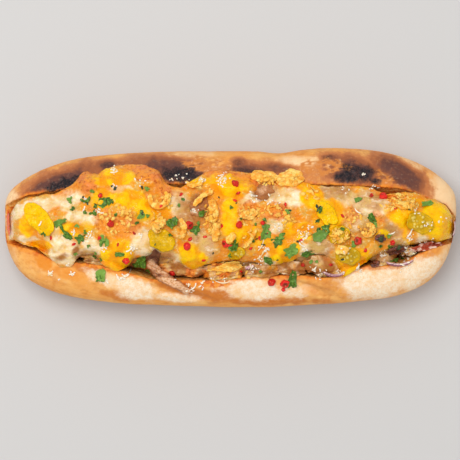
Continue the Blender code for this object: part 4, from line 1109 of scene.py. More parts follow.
def pickle_finish(look):
    f = Finish("Pickle")
    slow, fine = f.noise(3.0, 3.0), f.noise(1.2, 3.0)
    green = f.tint(look.pickle_green, look.pickle_olive, slow, 0.35, 0.65)
    yellow = f.tint(look.pickle_lemon, look.pickle_gold, slow, 0.35, 0.7)
    base = f.mix(f.mask("lemon"), green, yellow)
    core = f.mix(0.45, base, look.pickle_core)
    base = f.cover(base, core, "seedy", 1.5, 0.6, 0.45)
    base = f.cover(base, look.pickle_seed, "seeds", 0.8, 0.5, 0.4)
    base = f.tint(base, look.pickle_olive, fine, 0.52, 0.7, 0.5)
    base = f.mix(f.times(f.mask("skin"), 0.35), base, look.pickle_skin)
    return f.finish(base, fine, 0.3, (0.14, 0.3), oily(look, 0.06, 0.06), soft(0.2, (1.0, 0.7, 0.1), 1.5))


def build_bacon(material, ground, thickness):
    """The two pieces and the rasher, whose upper end is dark and crisp."""
    made = []
    for number, spec in enumerate(BACON, 1):
        obj, upper, *_ = draped(f"bacon_bit_{number}", spec, thickness, 0.45, ground, material, sag=1.0)
        x, y, z = points_of(obj)
        raise_relief(obj, 0.35 * grain(x, y, z, 2.2, 111.0) + 0.2 * grain(x, y, z, 1.0), upper)
        streaks = grain(x * 0.5 + y, y - x, 0.0, 6.0, 112.0)
        set_masks(obj, fat=0.6 * ease(-0.1, 0.5, streaks), crisp=0.0)
        made.append(obj)
    width = RASHER_WIDTH * SHRINKAGE
    rasher, t, b, upper = strip_object(
        "rasher", rasher_line, width, thickness, ground, 0.5, material, (110, 20), 1.5
    )
    x, y, z = points_of(rasher)
    raise_relief(rasher, 0.6 * grain(x, y, z, 3.0, 113.0) + 0.25 * grain(x, y, z, 1.3, 115.0), upper)
    uneven = grain(x, y, z, 5.0, 114.0)
    fat = ease(-0.62, -0.3, t + 0.2 * uneven) * ease(1.1, 0.4, np.abs(b) + 0.4 * uneven)
    set_masks(rasher, fat=fat, crisp=0.8 * ease(-0.3, -0.5, t))
    return made, rasher


def bacon_finish(look):
    f = Finish("Bacon")
    slow, fine = f.noise(3.0, 3.0), f.noise(1.0, 4.0, 0.6)
    dark = f.math("ADD", f.mask("crisp"), f.ramp(slow, 0.35, 0.65, 0.0, 0.3))
    lean = f.mix(dark, look.bacon_lean, look.bacon_dark)
    fat = f.tint(look.bacon_fat, look.bacon_gold, fine, 0.4, 0.7)
    base = f.cover(lean, fat, "fat", 1.4, 0.6, 0.48)
    return f.finish(base, fine, 0.3, (0.2, 0.4), oily(look, 0.1, 0.15), soft(0.15, (1.0, 0.4, 0.2), 1.5))


# ---------------------------------------------------------------- strips

# The fine relief draws a strip's sides in, so strips start this much wider
SHRINKAGE = 1.1


def arc_line(spec):
    """The line of a strip bent round an arc, given as (x, y, length, width, turn, bend).

    It gives x, y and the heading at t from -1 to 1.
    """
    x, y, length, _, turn, bend = spec
    half, turned = math.radians(bend) / 2.0, math.radians(turn)
    radius = length / 2.0 / half

    def line(t):
        along = radius * np.sin(t * half)
        sideways = radius * (0.5 + 0.5 * math.cos(half) - np.cos(t * half))
        px = x + along * math.cos(turned) - sideways * math.sin(turned)
        py = y + along * math.sin(turned) + sideways * math.cos(turned)
        return px, py, turned + t * half

    return line


def rasher_line(t):
    """The rasher's line: x, y and the heading at t from -1 to 1."""
    knots = np.arange(len(RASHER_LINE))

    def at(s):
        place = np.clip(s, 0.0, 1.0) * (len(RASHER_LINE) - 1)
        return [smooth_through(list(zip(knots, side)), place) for side in zip(*RASHER_LINE)]

    s = (t + 1.0) / 2.0
    (x1, y1), (x2, y2) = at(s - 0.05), at(s + 0.05)
    x, y = at(s)
    return x, y, np.arctan2(y2 - y1, x2 - x1)


def strip_object(name, line, width, thickness, ground, curl, material, grid, spread=SPREAD):
    """A strip along a line, lying on the pieces below it, with rounded sides.

    It curls up by that height in places, and its lower side clears the highest point within
    the spread. Returns what slab_object does.
    """

    def place(a, b):
        px, py, heading = line(a)
        narrow = width / 2.0 * (1.0 - 0.55 * np.abs(a) ** 4)
        narrow = narrow * (1.0 + 0.3 * grain(px, py, b, 3.0) + 0.12 * grain(px, py, b, 1.2, 3.0))
        px, py = px - b * narrow * np.sin(heading), py + b * narrow * np.cos(heading)
        low = ground.heights(px, py, spread) + GAP
        low = low + curl * (0.5 + 0.5 * grain(px, py, 7.0, 4.0))
        fullness = np.sqrt(np.maximum(0.0, 1.0 - np.maximum(np.abs(b), np.abs(a)) ** 4))
        middle, half = low + thickness / 2.0, thickness / 2.0 * (0.3 + 0.7 * fullness)
        return px, py, middle - half, middle + half

    return slab_object(name, *grid, place, material)


def build_fried_onions(material, ground, thickness):
    """The curls of fried onion and the flat chip, with their crisp uneven coat."""
    melt = Ground("baked_roll", "cheese")
    chip, _, p, q = draped(
        "crisp_chip", ONION_CHIP, 0.8 * thickness, 0.25, ground, material, 70, wedge=0.8
    )
    x, y, z = points_of(chip)
    fan = grain(np.arctan2(q * 0.7, p + 1.4) * 7.0, p, 0.0, 1.0, 119.0)
    folds = 0.6 * grain(x, y * 1.5, 0.0, 7.0, 120.0) + 0.4 * (q * 0.5 - p * 0.4) + 0.7 * fan
    move_points(chip, x, y, z + folds)
    made = [chip]
    for number, spec in enumerate(FRIED_ONIONS, 1):
        name = f"crisp_onion_{number:02d}"
        if number in HUMPED:
            made += draped(name, spec, thickness, 0.18, melt, material, 64, 1.5, power=2.0, crown=1.5)[:1]
        else:
            line, width = arc_line(spec), spec[3] * SHRINKAGE
            made += strip_object(name, line, width, thickness, ground, 1.4, material, (90, 16))[:1]
    for number, obj in enumerate(made):
        x, y, z = points_of(obj)
        flat_chip = obj is chip
        coat = cells(x, y, z, 2.2, 121.0 + number)
        ridges = np.abs(grain(x * 0.8 + y * 0.5, y * 2.0 - x, z, 3.4, 124.0 + number))
        calm = 0.5 if flat_chip else 0.3 if number in HUMPED else 1.0
        relief = 0.2 * (coat - 0.5) + 0.45 * grain(x, y, z, 2.8, 122.0 + number) - 0.8 * (0.25 - ridges)
        raise_relief(obj, calm * relief)
        dark = ease(0.1, 0.5, grain(x, y, z, 4.0, 123.0 + number))
        # The coat mask is the blisters' height, so the finish paints shade in their creases; the flat chip
        # is held high
        set_masks(obj, coat=np.maximum(coat, 0.7 * flat_chip), dark=(0.15 if flat_chip else 1.0) * dark)
    return made


def fried_finish(look):
    f = Finish("Fried onion")
    slow, fine = f.noise(3.0, 3.0), f.noise(0.9, 4.0, 0.65)
    base = f.tint(look.fried_gold, look.fried_pale, slow, 0.35, 0.65)
    # Deeper gold where the coat mask is low: painted shade in the creases between blisters, and a random
    # tone on the flakes
    base = f.tint(base, look.fried_deep, f.mask("coat"), 0.4, 0.0, 0.6)
    base = f.mix(f.times(f.mask("dark"), 0.5), base, look.fried_deep)
    base = f.tint(base, look.fried_brown, fine, 0.6, 0.78, 0.5)
    return f.finish(base, fine, 0.3, (0.28, 0.5), oily(look, 0.0, 0.03), soft(0.15, (1.0, 0.5, 0.2), 1.0))


def build_red_onions(material, ground, thickness):
    made = []
    for number, spec in enumerate(RED_ONIONS, 1):
        obj, _, across, _ = strip_object(
            f"onion_arc_{number}", arc_line(spec), spec[3], thickness, ground, 0.2, material, (50, 8), 1.6
        )
        set_masks(obj, skin=ease(0.3, -0.5, across))
        made.append(obj)
    return made


def red_onion_finish(look):
    f = Finish("Red onion")
    fine = f.noise(1.2, 3.0)
    base = f.tint(look.onion_white, look.onion_pink, fine, 0.3, 0.7)
    base = f.cover(base, look.onion_purple, "skin", 1.0, 0.4, 0.3)
    return f.finish(base, fine, 0.15, (0.18, 0.35), {"Coat Weight": 0.3})


def build_browned_onions(material, ground, thickness):
    made = []
    for number, spec in enumerate(BROWNED_ONIONS, 1):
        obj = draped(f"dark_onion_{number}", spec, thickness, 0.3, ground, material, 26)[0]
        x, y, z = points_of(obj)
        raise_relief(obj, 0.35 * grain(x, y, z, 1.5, 131.0) + 0.2 * grain(x, y, z, 0.8, 132.0))
        made.append(obj)
    return made


def browned_finish(look):
    f = Finish("Browned onion")
    fine = f.noise(1.0, 4.0, 0.6)
    base = f.tint(look.browned_black, look.browned_purple, fine, 0.35, 0.6)
    return f.finish(base, fine, 0.3, (0.22, 0.5), {"Coat Weight": 0.2})


# ---------------------------------------------------------------- small things

# Leaves on the melt and the near lip: (x, y, length, width, turn)
LEAVES = (
    (-65, 13.5, 6.5, 5.5, 20), (-78, -5.6, 5, 4, 35), (-65.5, -6.6, 6, 5, 80),
    (-88.5, 2.6, 7, 3.2, 25), (-85, -4.2, 7, 3.2, -30), (-46.5, -17.5, 7, 6, 60),
    (-43, -22.5, 5, 3.5, -20), (-30, 3, 6, 5, 70), (-17.8, -1, 5.5, 4, 60),
    (-14.5, 7.5, 5, 2.6, 30), (2, -9.2, 7.5, 4.2, 70), (18, -2.9, 7, 5.4, 80),
    (24.6, -7.2, 6, 4.6, 25), (32, -11.4, 8.5, 5.6, 40), (40.5, -13.5, 6.5, 4, 0),
    (47.5, -3.5, 9, 6, 45), (20, -17.5, 6.5, 3.8, -70), (73.5, 4.5, 6, 3.2, -50),
    (103, 12.5, 6.5, 2.8, 15), (-83.5, 14.5, 3.4, 2.6, 80), (-71, 7.5, 4, 3, 60),
    (-57.5, -14, 5, 2.2, 0), (-46, 6.5, 4.5, 3.2, 70), (29.9, 8.2, 3.6, 2.4, 30),
    (66.5, 14.5, 4, 2.2, 20), (-67.6, -24.6, 7, 5.2, 85), (32.3, -27, 9.5, 4.4, 82),
    (64.5, -8.6, 4, 3, 10), (85.5, -17.4, 6, 2.2, 10), (75.4, 1.4, 3.4, 2.4, 0),
)
# Small scraps of leaf: (x, y, size)
SCRAPS = (
    (-81.9, 9.8, 2.4), (-71.8, 18.8, 2.6), (-70.2, 10.9, 2.2), (-75.5, 7.7, 2), (-42.7, 6.1, 2.2),
    (-48.5, 2.4, 2.4), (-79.8, 0.8, 2.6), (-75.5, -2.4, 2.4), (-73.9, -9.8, 2), (-97.3, -3.4, 2.4),
    (-80.8, -14, 2), (-71.3, -15.1, 2.4), (-70.2, -13.5, 1.8), (-67.6, -16.7, 2.2),
    (-43.2, 19.9, 2.8), (-24.6, 14.6, 2.2), (-26.8, 11.4, 2), (0.3, 10.3, 2), (-16.7, 2.4, 2),
    (-0.3, -14.6, 2), (11.9, -7.2, 2.4), (15.6, -23.1, 2), (27.3, -3.4, 2.4), (17.8, 4, 2.4),
    (-31, -4, 2.2), (42.1, -17.8, 2.2), (44.8, -17.8, 1.8), (46.4, 9.3, 2.4), (45.3, 3.4, 2.2),
    (45.3, -1.3, 2.2), (78.2, -9.8, 2.4), (82.9, -10.3, 2.2), (82.4, -4.5, 2.4), (58, -0.8, 2.2),
    (90.9, -16.7, 2.6), (13, 1.6, 1.8), (5.5, 4.6, 1.8), (-59.5, 6.5, 2), (93, 9.5, 1.8),
)
# Pink peppercorns: (x, y, radius, how far it is open); the last three lie on the crust
PEPPERCORNS = (
    (-21.5, 1.2, 2.3, 0.5), (-22.5, -9.8, 2.1, 0), (-54.3, -17.5, 1.9, 0), (-2.6, -8.4, 2, 0.4),
    (2.4, 22.8, 1.9, 0), (4.5, 1.3, 1.9, 0.2), (66, -7, 2.3, 0.35), (79.6, 16.2, 2.4, 0),
    (-62.3, 1.9, 1.8, 0.2), (-67.6, 16.6, 1.3, 0), (16.7, 2.4, 1.3, 0), (37.9, -19.6, 1.1, 0),
    (84.5, -8, 1.4, 0), (-30.5, -24, 1.6, 0.3), (-0.4, -9.6, 1.6, 0),
    (21.5, -28.6, 2.1, 0), (28.4, -29.4, 2.4, 0.5), (27.6, -32.6, 1.1, 0),
)
# Red scraps of their skin: (x, y, size)
RED_SCRAPS = (
    (-68.1, -5.6, 1.6), (-81.4, -8.7, 1.5), (-93.5, -5.6, 1.6), (-25.7, 17.2, 1.6), (4, 17.8, 1.8),
    (2.4, 14, 1.5), (-20.9, -6.1, 1.6), (-14, -17.2, 1.4), (19.3, -1.9, 1.5), (15.6, -5.6, 1.8),
    (5.6, -23.1, 1.3), (58, 6.1, 1.6), (73.4, 16.7, 1.5), (85.6, 9.8, 1.6), (-4.5, 0.8, 1.5),
    (36.5, -6.6, 1.5), (-58.5, -9, 1.3), (28.5, 12, 1.3), (70.2, -12, 1.4), (10.5, -11, 1.4),
    (-36, 11, 1.4), (-13.2, -4.8, 1.4), (-50, -3, 1.3), (52.5, -19.5, 1.3),
)
# Grated strands of cheese: (x, y, length, turn, bend)
SHREDS = (
    (-60.7, 29, 6, 10, 60), (-5, 25, 8, 25, 40), (-14.6, 25, 5, -30, 60),
    (-67.6, 8, 6, -20, 80), (-52.5, -11.5, 6, 35, 60), (-73, -4.4, 4, 60, 50),
    (39.5, -4.5, 7, 60, 70), (37, -9, 5.5, -35, 60), (15.6, -14.6, 8, 50, 60),
    (84, -3, 5.5, 20, 60), (93.5, -3, 7, 60, 40), (-76.1, 9.8, 4, 70, 60),
    (-53.3, -23.6, 7, 70, 80), (-58.6, -26.2, 6, -60, 50), (-82.9, -24.1, 5, 20, 40),
    (-94.6, -24.6, 4, -30, 40), (-19.3, -31, 7, 50, 90), (-4.5, -28.4, 11, -6, 60),
    (43.7, -21.5, 4.5, 40, 60), (47, -25, 4, 75, 60), (66.5, -20.4, 5, 70, 60),
    (80.3, -14.6, 4.5, 10, 60), (-99, 2, 4, 60, 50), (16, -9, 10, 66, 50),
    (-55, -24.6, 5, 10, 100), (66, 8.5, 6, -40, 70), (24.5, 12.5, 5, 20, 60),
)
# Clusters of white cheese crumbs: (x, y, reach, number)
WHITE_CRUMBS = (
    (-60.7, 30, 2.4, 12), (-60, 21.6, 2, 6), (-75, 14.4, 1.5, 10), (-68.9, 8.5, 2, 8),
    (-73, -3.9, 2.2, 10), (-81.9, -2.7, 1.6, 5), (-51.1, -10.3, 2.6, 16), (-46.4, -4, 1.8, 6),
    (-66, -10.9, 2, 6), (-94.3, -24, 1.8, 6), (-83.1, -24, 1.8, 6), (-89.8, -26.8, 1, 3),
    (-56.4, -26, 2.6, 14), (-64.5, -28.4, 2.4, 6), (-85.2, -19.5, 1.2, 4), (-4.2, 24.8, 4.6, 34),
    (-14.8, 24.2, 1.8, 8), (-19, 8.5, 1.8, 10), (11.8, 15.6, 3.2, 14), (24.1, -0.3, 3, 14),
    (18.8, -11.6, 2.8, 16), (15.3, -17.5, 3.6, 18), (37.8, -4, 3.6, 20), (-22, -29.6, 1.8, 6),
    (-20.5, -32.6, 2, 6), (-15.5, -30.5, 3, 8), (-9, -27.6, 2.4, 6), (-3, -27.4, 1.6, 4),
    (-28.5, -26.4, 1.2, 4), (-30, 26.9, 4, 6), (-24.5, 25.7, 5, 7), (11.2, -21.6, 3.6, 14),
    (69.4, 28, 1.2, 3), (41, 0.3, 2, 8), (37.9, -10.9, 2, 8), (57.5, -22.8, 2.6, 12),
    (67, -21.6, 2.8, 14), (43.6, -21.6, 1.8, 6), (48, -24, 2.8, 8), (45.7, -26, 2, 5),
    (93.5, -5.6, 2.4, 12), (93.5, -13, 4, 30), (105, -9.4, 4, 18), (80, -14, 2.2, 10),
    (91.3, -19.3, 4.4, 14), (103, 0.5, 4, 8), (110, 3, 3, 5), (59.3, 19.9, 3, 6),
    (74.7, 20.6, 4, 8), (60, -12, 3, 6), (96.5, 8, 3, 6), (22, 14, 6, 8), (-46, 25, 6, 8),
)
# Cracked black pepper and dark scraps: (x, y, size)
PEPPER_BITS = (
    (-60, 20.2, 1.4), (-61.5, 21.4, 1), (-45.8, 20.7, 1.2), (-45.8, 7.6, 1.6), (-74.5, 12.6, 1.1),
    (-76.6, 15.8, 1), (78.2, -6, 2.6), (67, 14.4, 1.3), (87.7, -10.6, 2.2), (45.5, 9.6, 1.8),
    (44.6, 11, 1.4), (45.1, 3.6, 1.5), (45.7, -1.2, 1.5), (30.2, 8.6, 1.6), (-36, -0.5, 1),
    (-23, -9, 1.4), (-9, -13.4, 1), (-39, -8.8, 1), (-61, 13, 0.9), (18.6, -3.4, 1.2),
    (17, -9, 1.4), (34.8, -7.4, 1), (58, -16.6, 1.4), (3, 12.6, 0.8), (-6, 15.6, 0.9), (-70, 12, 1),
    (24.5, -17, 0.9), (75.8, -2.4, 1.2), (13.6, -6, 1),
)
# Chives: (x, y, length, turn, bend)
CHIVES = (
    (-75.3, 14.6, 7, 15, 170), (2, -8.6, 5, 80, 10), (-87, -1, 6, -60, 50),
    (46.5, 9, 4, 70, 20),
)
# Heaps of fried flakes: (x, y, half length, half width, number)
CRUMBS = (
    (-37.5, 3, 4, 6, 26), (-9.5, 5, 4.5, 9.5, 50), (11, 6.2, 8, 5.2, 44), (22.5, 9, 5, 3.5, 16),
    (58, -5, 6, 5, 40), (91, 13.5, 8, 4.6, 50), (-60, 4, 10.5, 8, 50),
    (-16, 20, 6, 5, 12), (20, 25, 7, 3, 14), (31, 25.5, 6, 3, 10), (43, 18, 6, 4, 14),
    (-3, -20.5, 8, 3, 8), (72, -1, 6, 5, 12), (-24, -1, 3, 5, 8), (63.5, 4.5, 5, 5, 14),
    (10, -6, 4, 5, 12), (40, -3, 5, 4, 12), (0, -25, 16, 3, 10), (29, 4, 5, 5, 14),
    (-52, 8, 5, 4, 10), (82, 12, 5, 4, 12), (-34.5, 13.5, 5, 4, 18), (71.5, -1.5, 3.2, 3.2, 16),
    (24, 24, 8, 2.5, 10),
)


# Steps across a leaf, a lobe of one and a scrap, and around and along a strand
LEAF_STEPS = 12
LOBE_STEPS = 8
SCRAP_STEPS = 6
STRAND_STEPS = (8, 14)
# How high the middle of a leaf, and of a scrap of red skin, lies above its ground
LEAF_LIFT = 0.55
SKIN_LIFT = 0.3
# A leaf gets a second lobe if it is longer than this, and wider than this share of its length
LOBED_LENGTH = 5.5
LOBED_WIDTH = 0.62
CHIVE_RADIUS = 0.75
# A random start within about a full turn, in radians
FULL_TURN = 6.28


class Heap:
    """Many small shapes in one mesh, each vertex with its tones."""

    def __init__(self, *tones):
        self.bm = bmesh.new()
        for name in tones:
            self.bm.verts.layers.float.new(name)

    def add(self, verts, places, **tones):
        """Puts new vertices at places in millimetres; a tone is one value or a list."""
        layers = {name: self.bm.verts.layers.float[name] for name in tones}
        for k, (vert, place) in enumerate(zip(verts, places)):
            vert.co = place * MM
            for name, layer in layers.items():
                vert[layer] = tones[name][k] if isinstance(tones[name], list) else tones[name]

    def ball(self, fineness):
        return bmesh.ops.create_icosphere(self.bm, subdivisions=fineness, radius=1.0)["verts"]

    def sheet(self, steps):
        """The lower and the upper vertices of a thin closed sheet."""
        lower = bmesh.ops.create_grid(self.bm, x_segments=steps, y_segments=steps, size=1.0)["verts"]
        faces = list({face for vert in lower for face in vert.link_faces})
        made = bmesh.ops.extrude_face_region(self.bm, geom=faces, use_keep_orig=True)["geom"]
        upper = [item for item in made if isinstance(item, bmesh.types.BMVert)]
        return lower, upper

    def finished(self, name, material):
        bmesh.ops.recalc_face_normals(self.bm, faces=self.bm.faces)
        return new_object(name, self.bm, material)


def resting(ground, x, y, lift, turn=0.0):
    """The matrix that sets a small thing down at a place, leaning with the surface."""
    upright = Matrix.Translation((x, y, ground.height(x, y) + lift)) @ ground.lean(x, y)
    return upright @ Matrix.Rotation(math.radians(turn), 4, "Z")


def bumps(vert, density, x=0.0, y=0.0):
    """Smooth noise on a unit shape, about -1 to 1; x and y give each shape its own."""
    return noise.noise(vert.co * density + Vector((x, y, 0.0)))


def add_leaf(heap, spec, ground, draw, steps, thickness):
    """A leaf, folded along its middle and wavy at its edge.

    A wide one is lobed, and a narrow one is a cut strip with blunt ends.
    """
    x, y, length, width, turn = spec
    lobed = 0.24 * float(ease(0.45, 0.75, width / length))
    blunt = 0.55 * float(ease(0.72, 0.52, width / length))
    fold, phase, wave = draw.uniform(0.15, 0.75), draw.uniform(0.0, FULL_TURN), draw.uniform(0.25, 0.6)
    lobes, tone = draw.choice((2, 3, 3, 5)), draw.random()
    lower, upper = heap.sheet(steps)
    matrix = resting(ground, x, y, LEAF_LIFT, turn)
    for verts, side in ((lower, -1.0), (upper, 1.0)):
        places = []
        for vert in verts:
            a, b = vert.co.x, vert.co.y
            p, q = disc(a, b)
            angle, reach = math.atan2(q, p), math.hypot(p, q)
            p, q = p + (a - p) * blunt, q + (b - q) * blunt
            outline = 1.0 + lobed * math.cos(lobes * angle + phase) + 0.08 * math.cos(8.0 * angle + phase)
            outline = 1.0 + (outline - 1.0) * reach
            p, q = p * outline, q * outline * (1.0 - 0.45 * p * (1.0 - 0.8 * blunt))
            height = fold * width * 0.4 * (abs(q) - 0.35)
            height += wave * reach * math.sin(4.0 * angle + phase) + 0.2 * math.sin(3.0 * p + phase)
            place = Vector((p * length / 2.0, q * width / 2.0, height + side * thickness / 2.0))
            places.append(matrix @ place)
        heap.add(verts, places, tone=tone)


def build_herbs(material, ground, thickness):
    """Leaves, the larger ones with a second lobe, scraps of leaf and short cut stalks."""
    draw = random.Random(SEED + 1)
    heap = Heap("tone")
    for spec in LEAVES:
        add_leaf(heap, spec, ground, draw, LEAF_STEPS, thickness)
        x, y, length, width, turn = spec
        if length > LOBED_LENGTH and width > LOBED_WIDTH * length:
            side = math.radians(turn + draw.uniform(-40.0, 40.0) + draw.choice((0.0, 180.0)))
            away = length * draw.uniform(0.28, 0.5)
            lobe = (x + away * math.cos(side), y + away * math.sin(side), length * 0.55, width * 0.6)
            add_leaf(heap, (*lobe, draw.uniform(0.0, 360.0)), ground, draw, LOBE_STEPS, thickness)
    for x, y, size in SCRAPS:
        scrap = (x, y, size, size * draw.uniform(0.55, 0.9), draw.uniform(0.0, 360.0))
        add_leaf(heap, scrap, ground, draw, SCRAP_STEPS, thickness)
    for spec in CHIVES:
        add_strand(heap, spec, ground, draw, CHIVE_RADIUS, 0.5, draw.random())
    return heap.finished("herbs", material)


def add_strand(heap, spec, ground, draw, radius, lift, tone):
    """A round strand along an arc, lying on the pieces below it."""
    x, y, length, turn, bend = spec
    line = arc_line((x, y, length, 0.0, turn, bend))
    phase = draw.uniform(0.0, FULL_TURN)
    verts, places = unit_tube(heap.bm, *STRAND_STEPS), []
    for vert in verts:
        t = max(-1.0, min(1.0, vert.co.x))
        angle = math.atan2(vert.co.z, vert.co.y)
        px, py, heading = (float(value) for value in line(t))
        thick = radius * (1.0 - abs(t) ** 6) ** 0.5 * (1.0 + 0.2 * math.sin(5.0 * t + phase))
        across, up = thick * math.cos(angle), 0.8 * thick * math.sin(angle)
        rise = 0.5 + 0.5 * math.sin(2.0 * t + phase)
        z = ground.height(px, py) + lift + up + 0.5 * rise
        places.append(Vector((px - across * math.sin(heading), py + across * math.cos(heading), z)))
    heap.add(verts, places, tone=tone)


def herb_finish(look):
    f = Finish("Herbs")
    fine = f.noise(1.1, 3.0, 0.6)
    dark = f.tint(look.herb_dark, look.herb_green, fine, 0.35, 0.6)
    base = f.tint(dark, look.herb_light, f.mask("tone"), 0.45, 1.0)
    base = f.tint(base, look.herb_pale, fine, 0.58, 0.72)
    return f.finish(base, fine, 0.2, (0.3, 0.55), {"Specular IOR Level": 0.3})


def build_peppercorns(material, ground):
    """Crushed pink peppercorns, some open, and scraps of their red skin."""
    draw = random.Random(SEED + 2)
    heap = Heap("tone", "pit")
    for x, y, radius, dent in PEPPERCORNS:
        verts, places, pits = heap.ball(4), [], []
        shift = draw.uniform(0.0, 90.0)
        aim = Vector((draw.uniform(-0.5, 0.5), draw.uniform(-0.5, 0.5), 1.0)).normalized()
        matrix = resting(ground, x, y, 0.5 * radius)
        for vert in verts:
            skin, crease = 1.4 * bumps(vert, 1.3, x=shift), abs(bumps(vert, 2.6, y=shift))
            pit = max(0.0, min(1.0, (vert.co.dot(aim) - 0.72 + 0.15 * skin) / 0.2))
            reach = 1.0 + 0.22 * skin - 0.5 * max(0.0, 0.15 - crease) - dent * pit
            pits.append(pit if dent > 0.3 else 0.0)
            places.append(matrix @ (vert.co * radius * 0.95 * reach))
        heap.add(verts, places, tone=draw.uniform(0.0, 0.8), pit=pits)
    for x, y, size in RED_SCRAPS:
        verts, places = heap.ball(3), []
        matrix = resting(ground, x, y, SKIN_LIFT, draw.uniform(0.0, 360.0))
        narrow, shift = draw.uniform(0.5, 0.85), draw.uniform(0.0, 90.0)
        for vert in verts:
            lump = 1.0 + 0.45 * bumps(vert, 1.6, x=shift)
            place = Vector((vert.co.x * size * 0.75, vert.co.y * size * 0.75 * narrow, vert.co.z * 0.45))
            places.append(matrix @ (place * lump))
        heap.add(verts, places, tone=draw.uniform(0.0, 0.7), pit=0.0)
    return heap.finished("peppercorns", material)


def peppercorn_finish(look):
    f = Finish("Peppercorns")
    fine = f.noise(1.3, 3.0, 0.6)
    base = f.tint(look.pepper_pink, look.pepper_red, f.mask("tone"), 0.2, 0.9)
    base = f.tint(base, look.pepper_dark, fine, 0.5, 0.68)
    base = f.mix(f.mask("pit"), base, look.pepper_inside)
    gloss = {"Coat Weight": 0.1, "Specular Tint": look.warm_gloss}
    return f.finish(base, fine, 0.2, (0.2, 0.42), gloss)


def build_shreds(material, ground, thickness):
    """Grated strands of cheese, each a little thinner or thicker than the others."""
    draw = random.Random(SEED + 3)
    heap = Heap("tone")
    for x, y, length, turn, bend in SHREDS:
        spec = (x, y, 0.75 * length, turn, bend)
        radius = thickness * draw.uniform(0.42, 0.58)
        add_strand(heap, spec, ground, draw, radius, 0.25, draw.random())
    return heap.finished("grated_strands", material)


def shred_finish(look):
    f = Finish("Grated strands")
    fine = f.noise(1.0, 3.0)
    base = f.tint(look.crumb_white, look.cheese_cream, f.mask("tone"), 0.2, 0.9)
    base = f.tint(base, look.cheese_straw, fine, 0.6, 0.8)
    return f.finish(base, fine, 0.1, 0.4, soft(0.15, (1.0, 0.6, 0.3), 1.0))


def lumpy(heap, ground, draw, x, y, size, stretch, tilt, lift, fineness, **tones):
    """A lump of uneven shape, laid at a place with a random tilt."""
    shift = draw.uniform(0.0, 90.0)
    lean = Matrix.Rotation(draw.uniform(-tilt, tilt), 4, "X")
    lean = lean @ Matrix.Rotation(draw.uniform(-tilt, tilt), 4, "Y")
    matrix = resting(ground, x, y, lift, draw.uniform(0.0, 360.0)) @ lean
    verts, places = heap.ball(fineness), []
    for vert in verts:
        lump = 1.0 + 0.55 * bumps(vert, 1.2, x=shift)
        lump += 0.3 * bumps(vert, 2.7, y=shift)
        place = Vector(part * wide for part, wide in zip(vert.co, stretch))
        places.append(matrix @ (place * size * lump))
    heap.add(verts, places, **tones)


# Cheese that ran into the gap beside the sausage: (x, y, length, width, turn), the depth below
# the roll's dome, how lumpy it is, and how cream, clear, browned and meaty
DRIPS = (
    ((-25, -21.6, 27, 8.4, -4), 4.6, 1, (0.3, 0.7, 0.4, 0.4)),
    ((-4, -23.2, 24, 8.6, 2), 3.8, 1, (0.2, 0.5, 0.6, 0.3)),
    ((16, -22.4, 22, 8, 4), 3.6, 1, (0.3, 0.7, 0.2, 0.5)),
    ((32, -21, 18, 8.4, -2), 3.6, 1, (0.4, 0.8, 0.1, 0.5)),
    ((48.5, -19.9, 22, 11, -2), 1.6, 0.4, (0, 0.8, 0.25, 0.45)),
    ((81, -15.8, 16, 7.4, 8), 4, 1, (0.5, 0.6, 0.2, 0.4)),
    ((-70, -16.8, 18, 5, -10), 5.4, 1, (0.5, 0.6, 0, 0.4)),
    ((93, -12.2, 10, 5.6, 16), 2.4, 1, (1, 0.2, 0, 0)),
)
DRIP_AREAS = ("cream", "clear", "gratin", "meaty")


def build_drips(material, ground):
    """Lumpy drips of the melt between the sausage and the near lip."""
    made = []
    for number, (spec, depth, lumpiness, shares) in enumerate(DRIPS, 1):
        obj, upper, *_ = draped(
            f"drip_{number}", spec, 1.6, 0.25, ground, material, 64, sag=0.4, filled=depth, power=3.0
        )
        x, y, z = points_of(obj)
        lumps = 0.8 * grain(x, y, 0.0, 4.0, 151.0) + 0.5 * (cells(x, y, 0.0, 3.4, 152.0) - 0.5)
        lumps = lumps * lumpiness
        raise_relief(obj, lumps + 0.25 * grain(x, y, z, 1.6, 153.0), upper)
        masks = {}
        for layer, (name, share) in enumerate(zip(DRIP_AREAS, shares), 154):
            patch = ease(-0.25, 0.25, grain(x, y, 0.0, 6.0, layer) + 1.2 * (share - 0.5))
            masks[name] = patch * min(1.0, 2.0 * share)
        # hollow is painted shade in the drip's low places
        set_masks(obj, **masks, yellow=0.0, hollow=ease(0.1, -0.8, lumps))
        made.append(obj)
    return made


# Keeps the highest flakes inside the part's box
CRUMB_CEILING = 59.9


def build_crumbs(material, ground, largest):
    """Heaps of small crisp flakes of fried onion."""
    draw = random.Random(SEED + 4)
    heap = Heap("coat", "dark")
    for at_x, at_y, long, wide, number in CRUMBS:
        for _ in range(number):
            angle, reach = draw.uniform(0.0, 2.0 * math.pi), math.sqrt(draw.random())
            x, y = at_x + long * reach * math.cos(angle), at_y + wide * reach * math.sin(angle)
            size = largest * draw.uniform(0.38, 1.0) * (1.1 - 0.4 * reach)
            stretch = (draw.uniform(0.9, 1.7), draw.uniform(0.5, 0.9), draw.uniform(0.25, 0.55))
            lift = size * 0.12 + 0.8 * (1.0 - reach) * draw.random()
            tones = {"coat": draw.uniform(0.2, 1.0), "dark": max(0.0, draw.uniform(-0.8, 1.0))}
            lumpy(heap, ground, draw, x, y, size, stretch, 0.7, lift, 2, **tones)
    obj = heap.finished("crisp_crumbs", material)
    x, y, z = points_of(obj)
    move_points(obj, x, y, np.minimum(z, CRUMB_CEILING))
    return obj


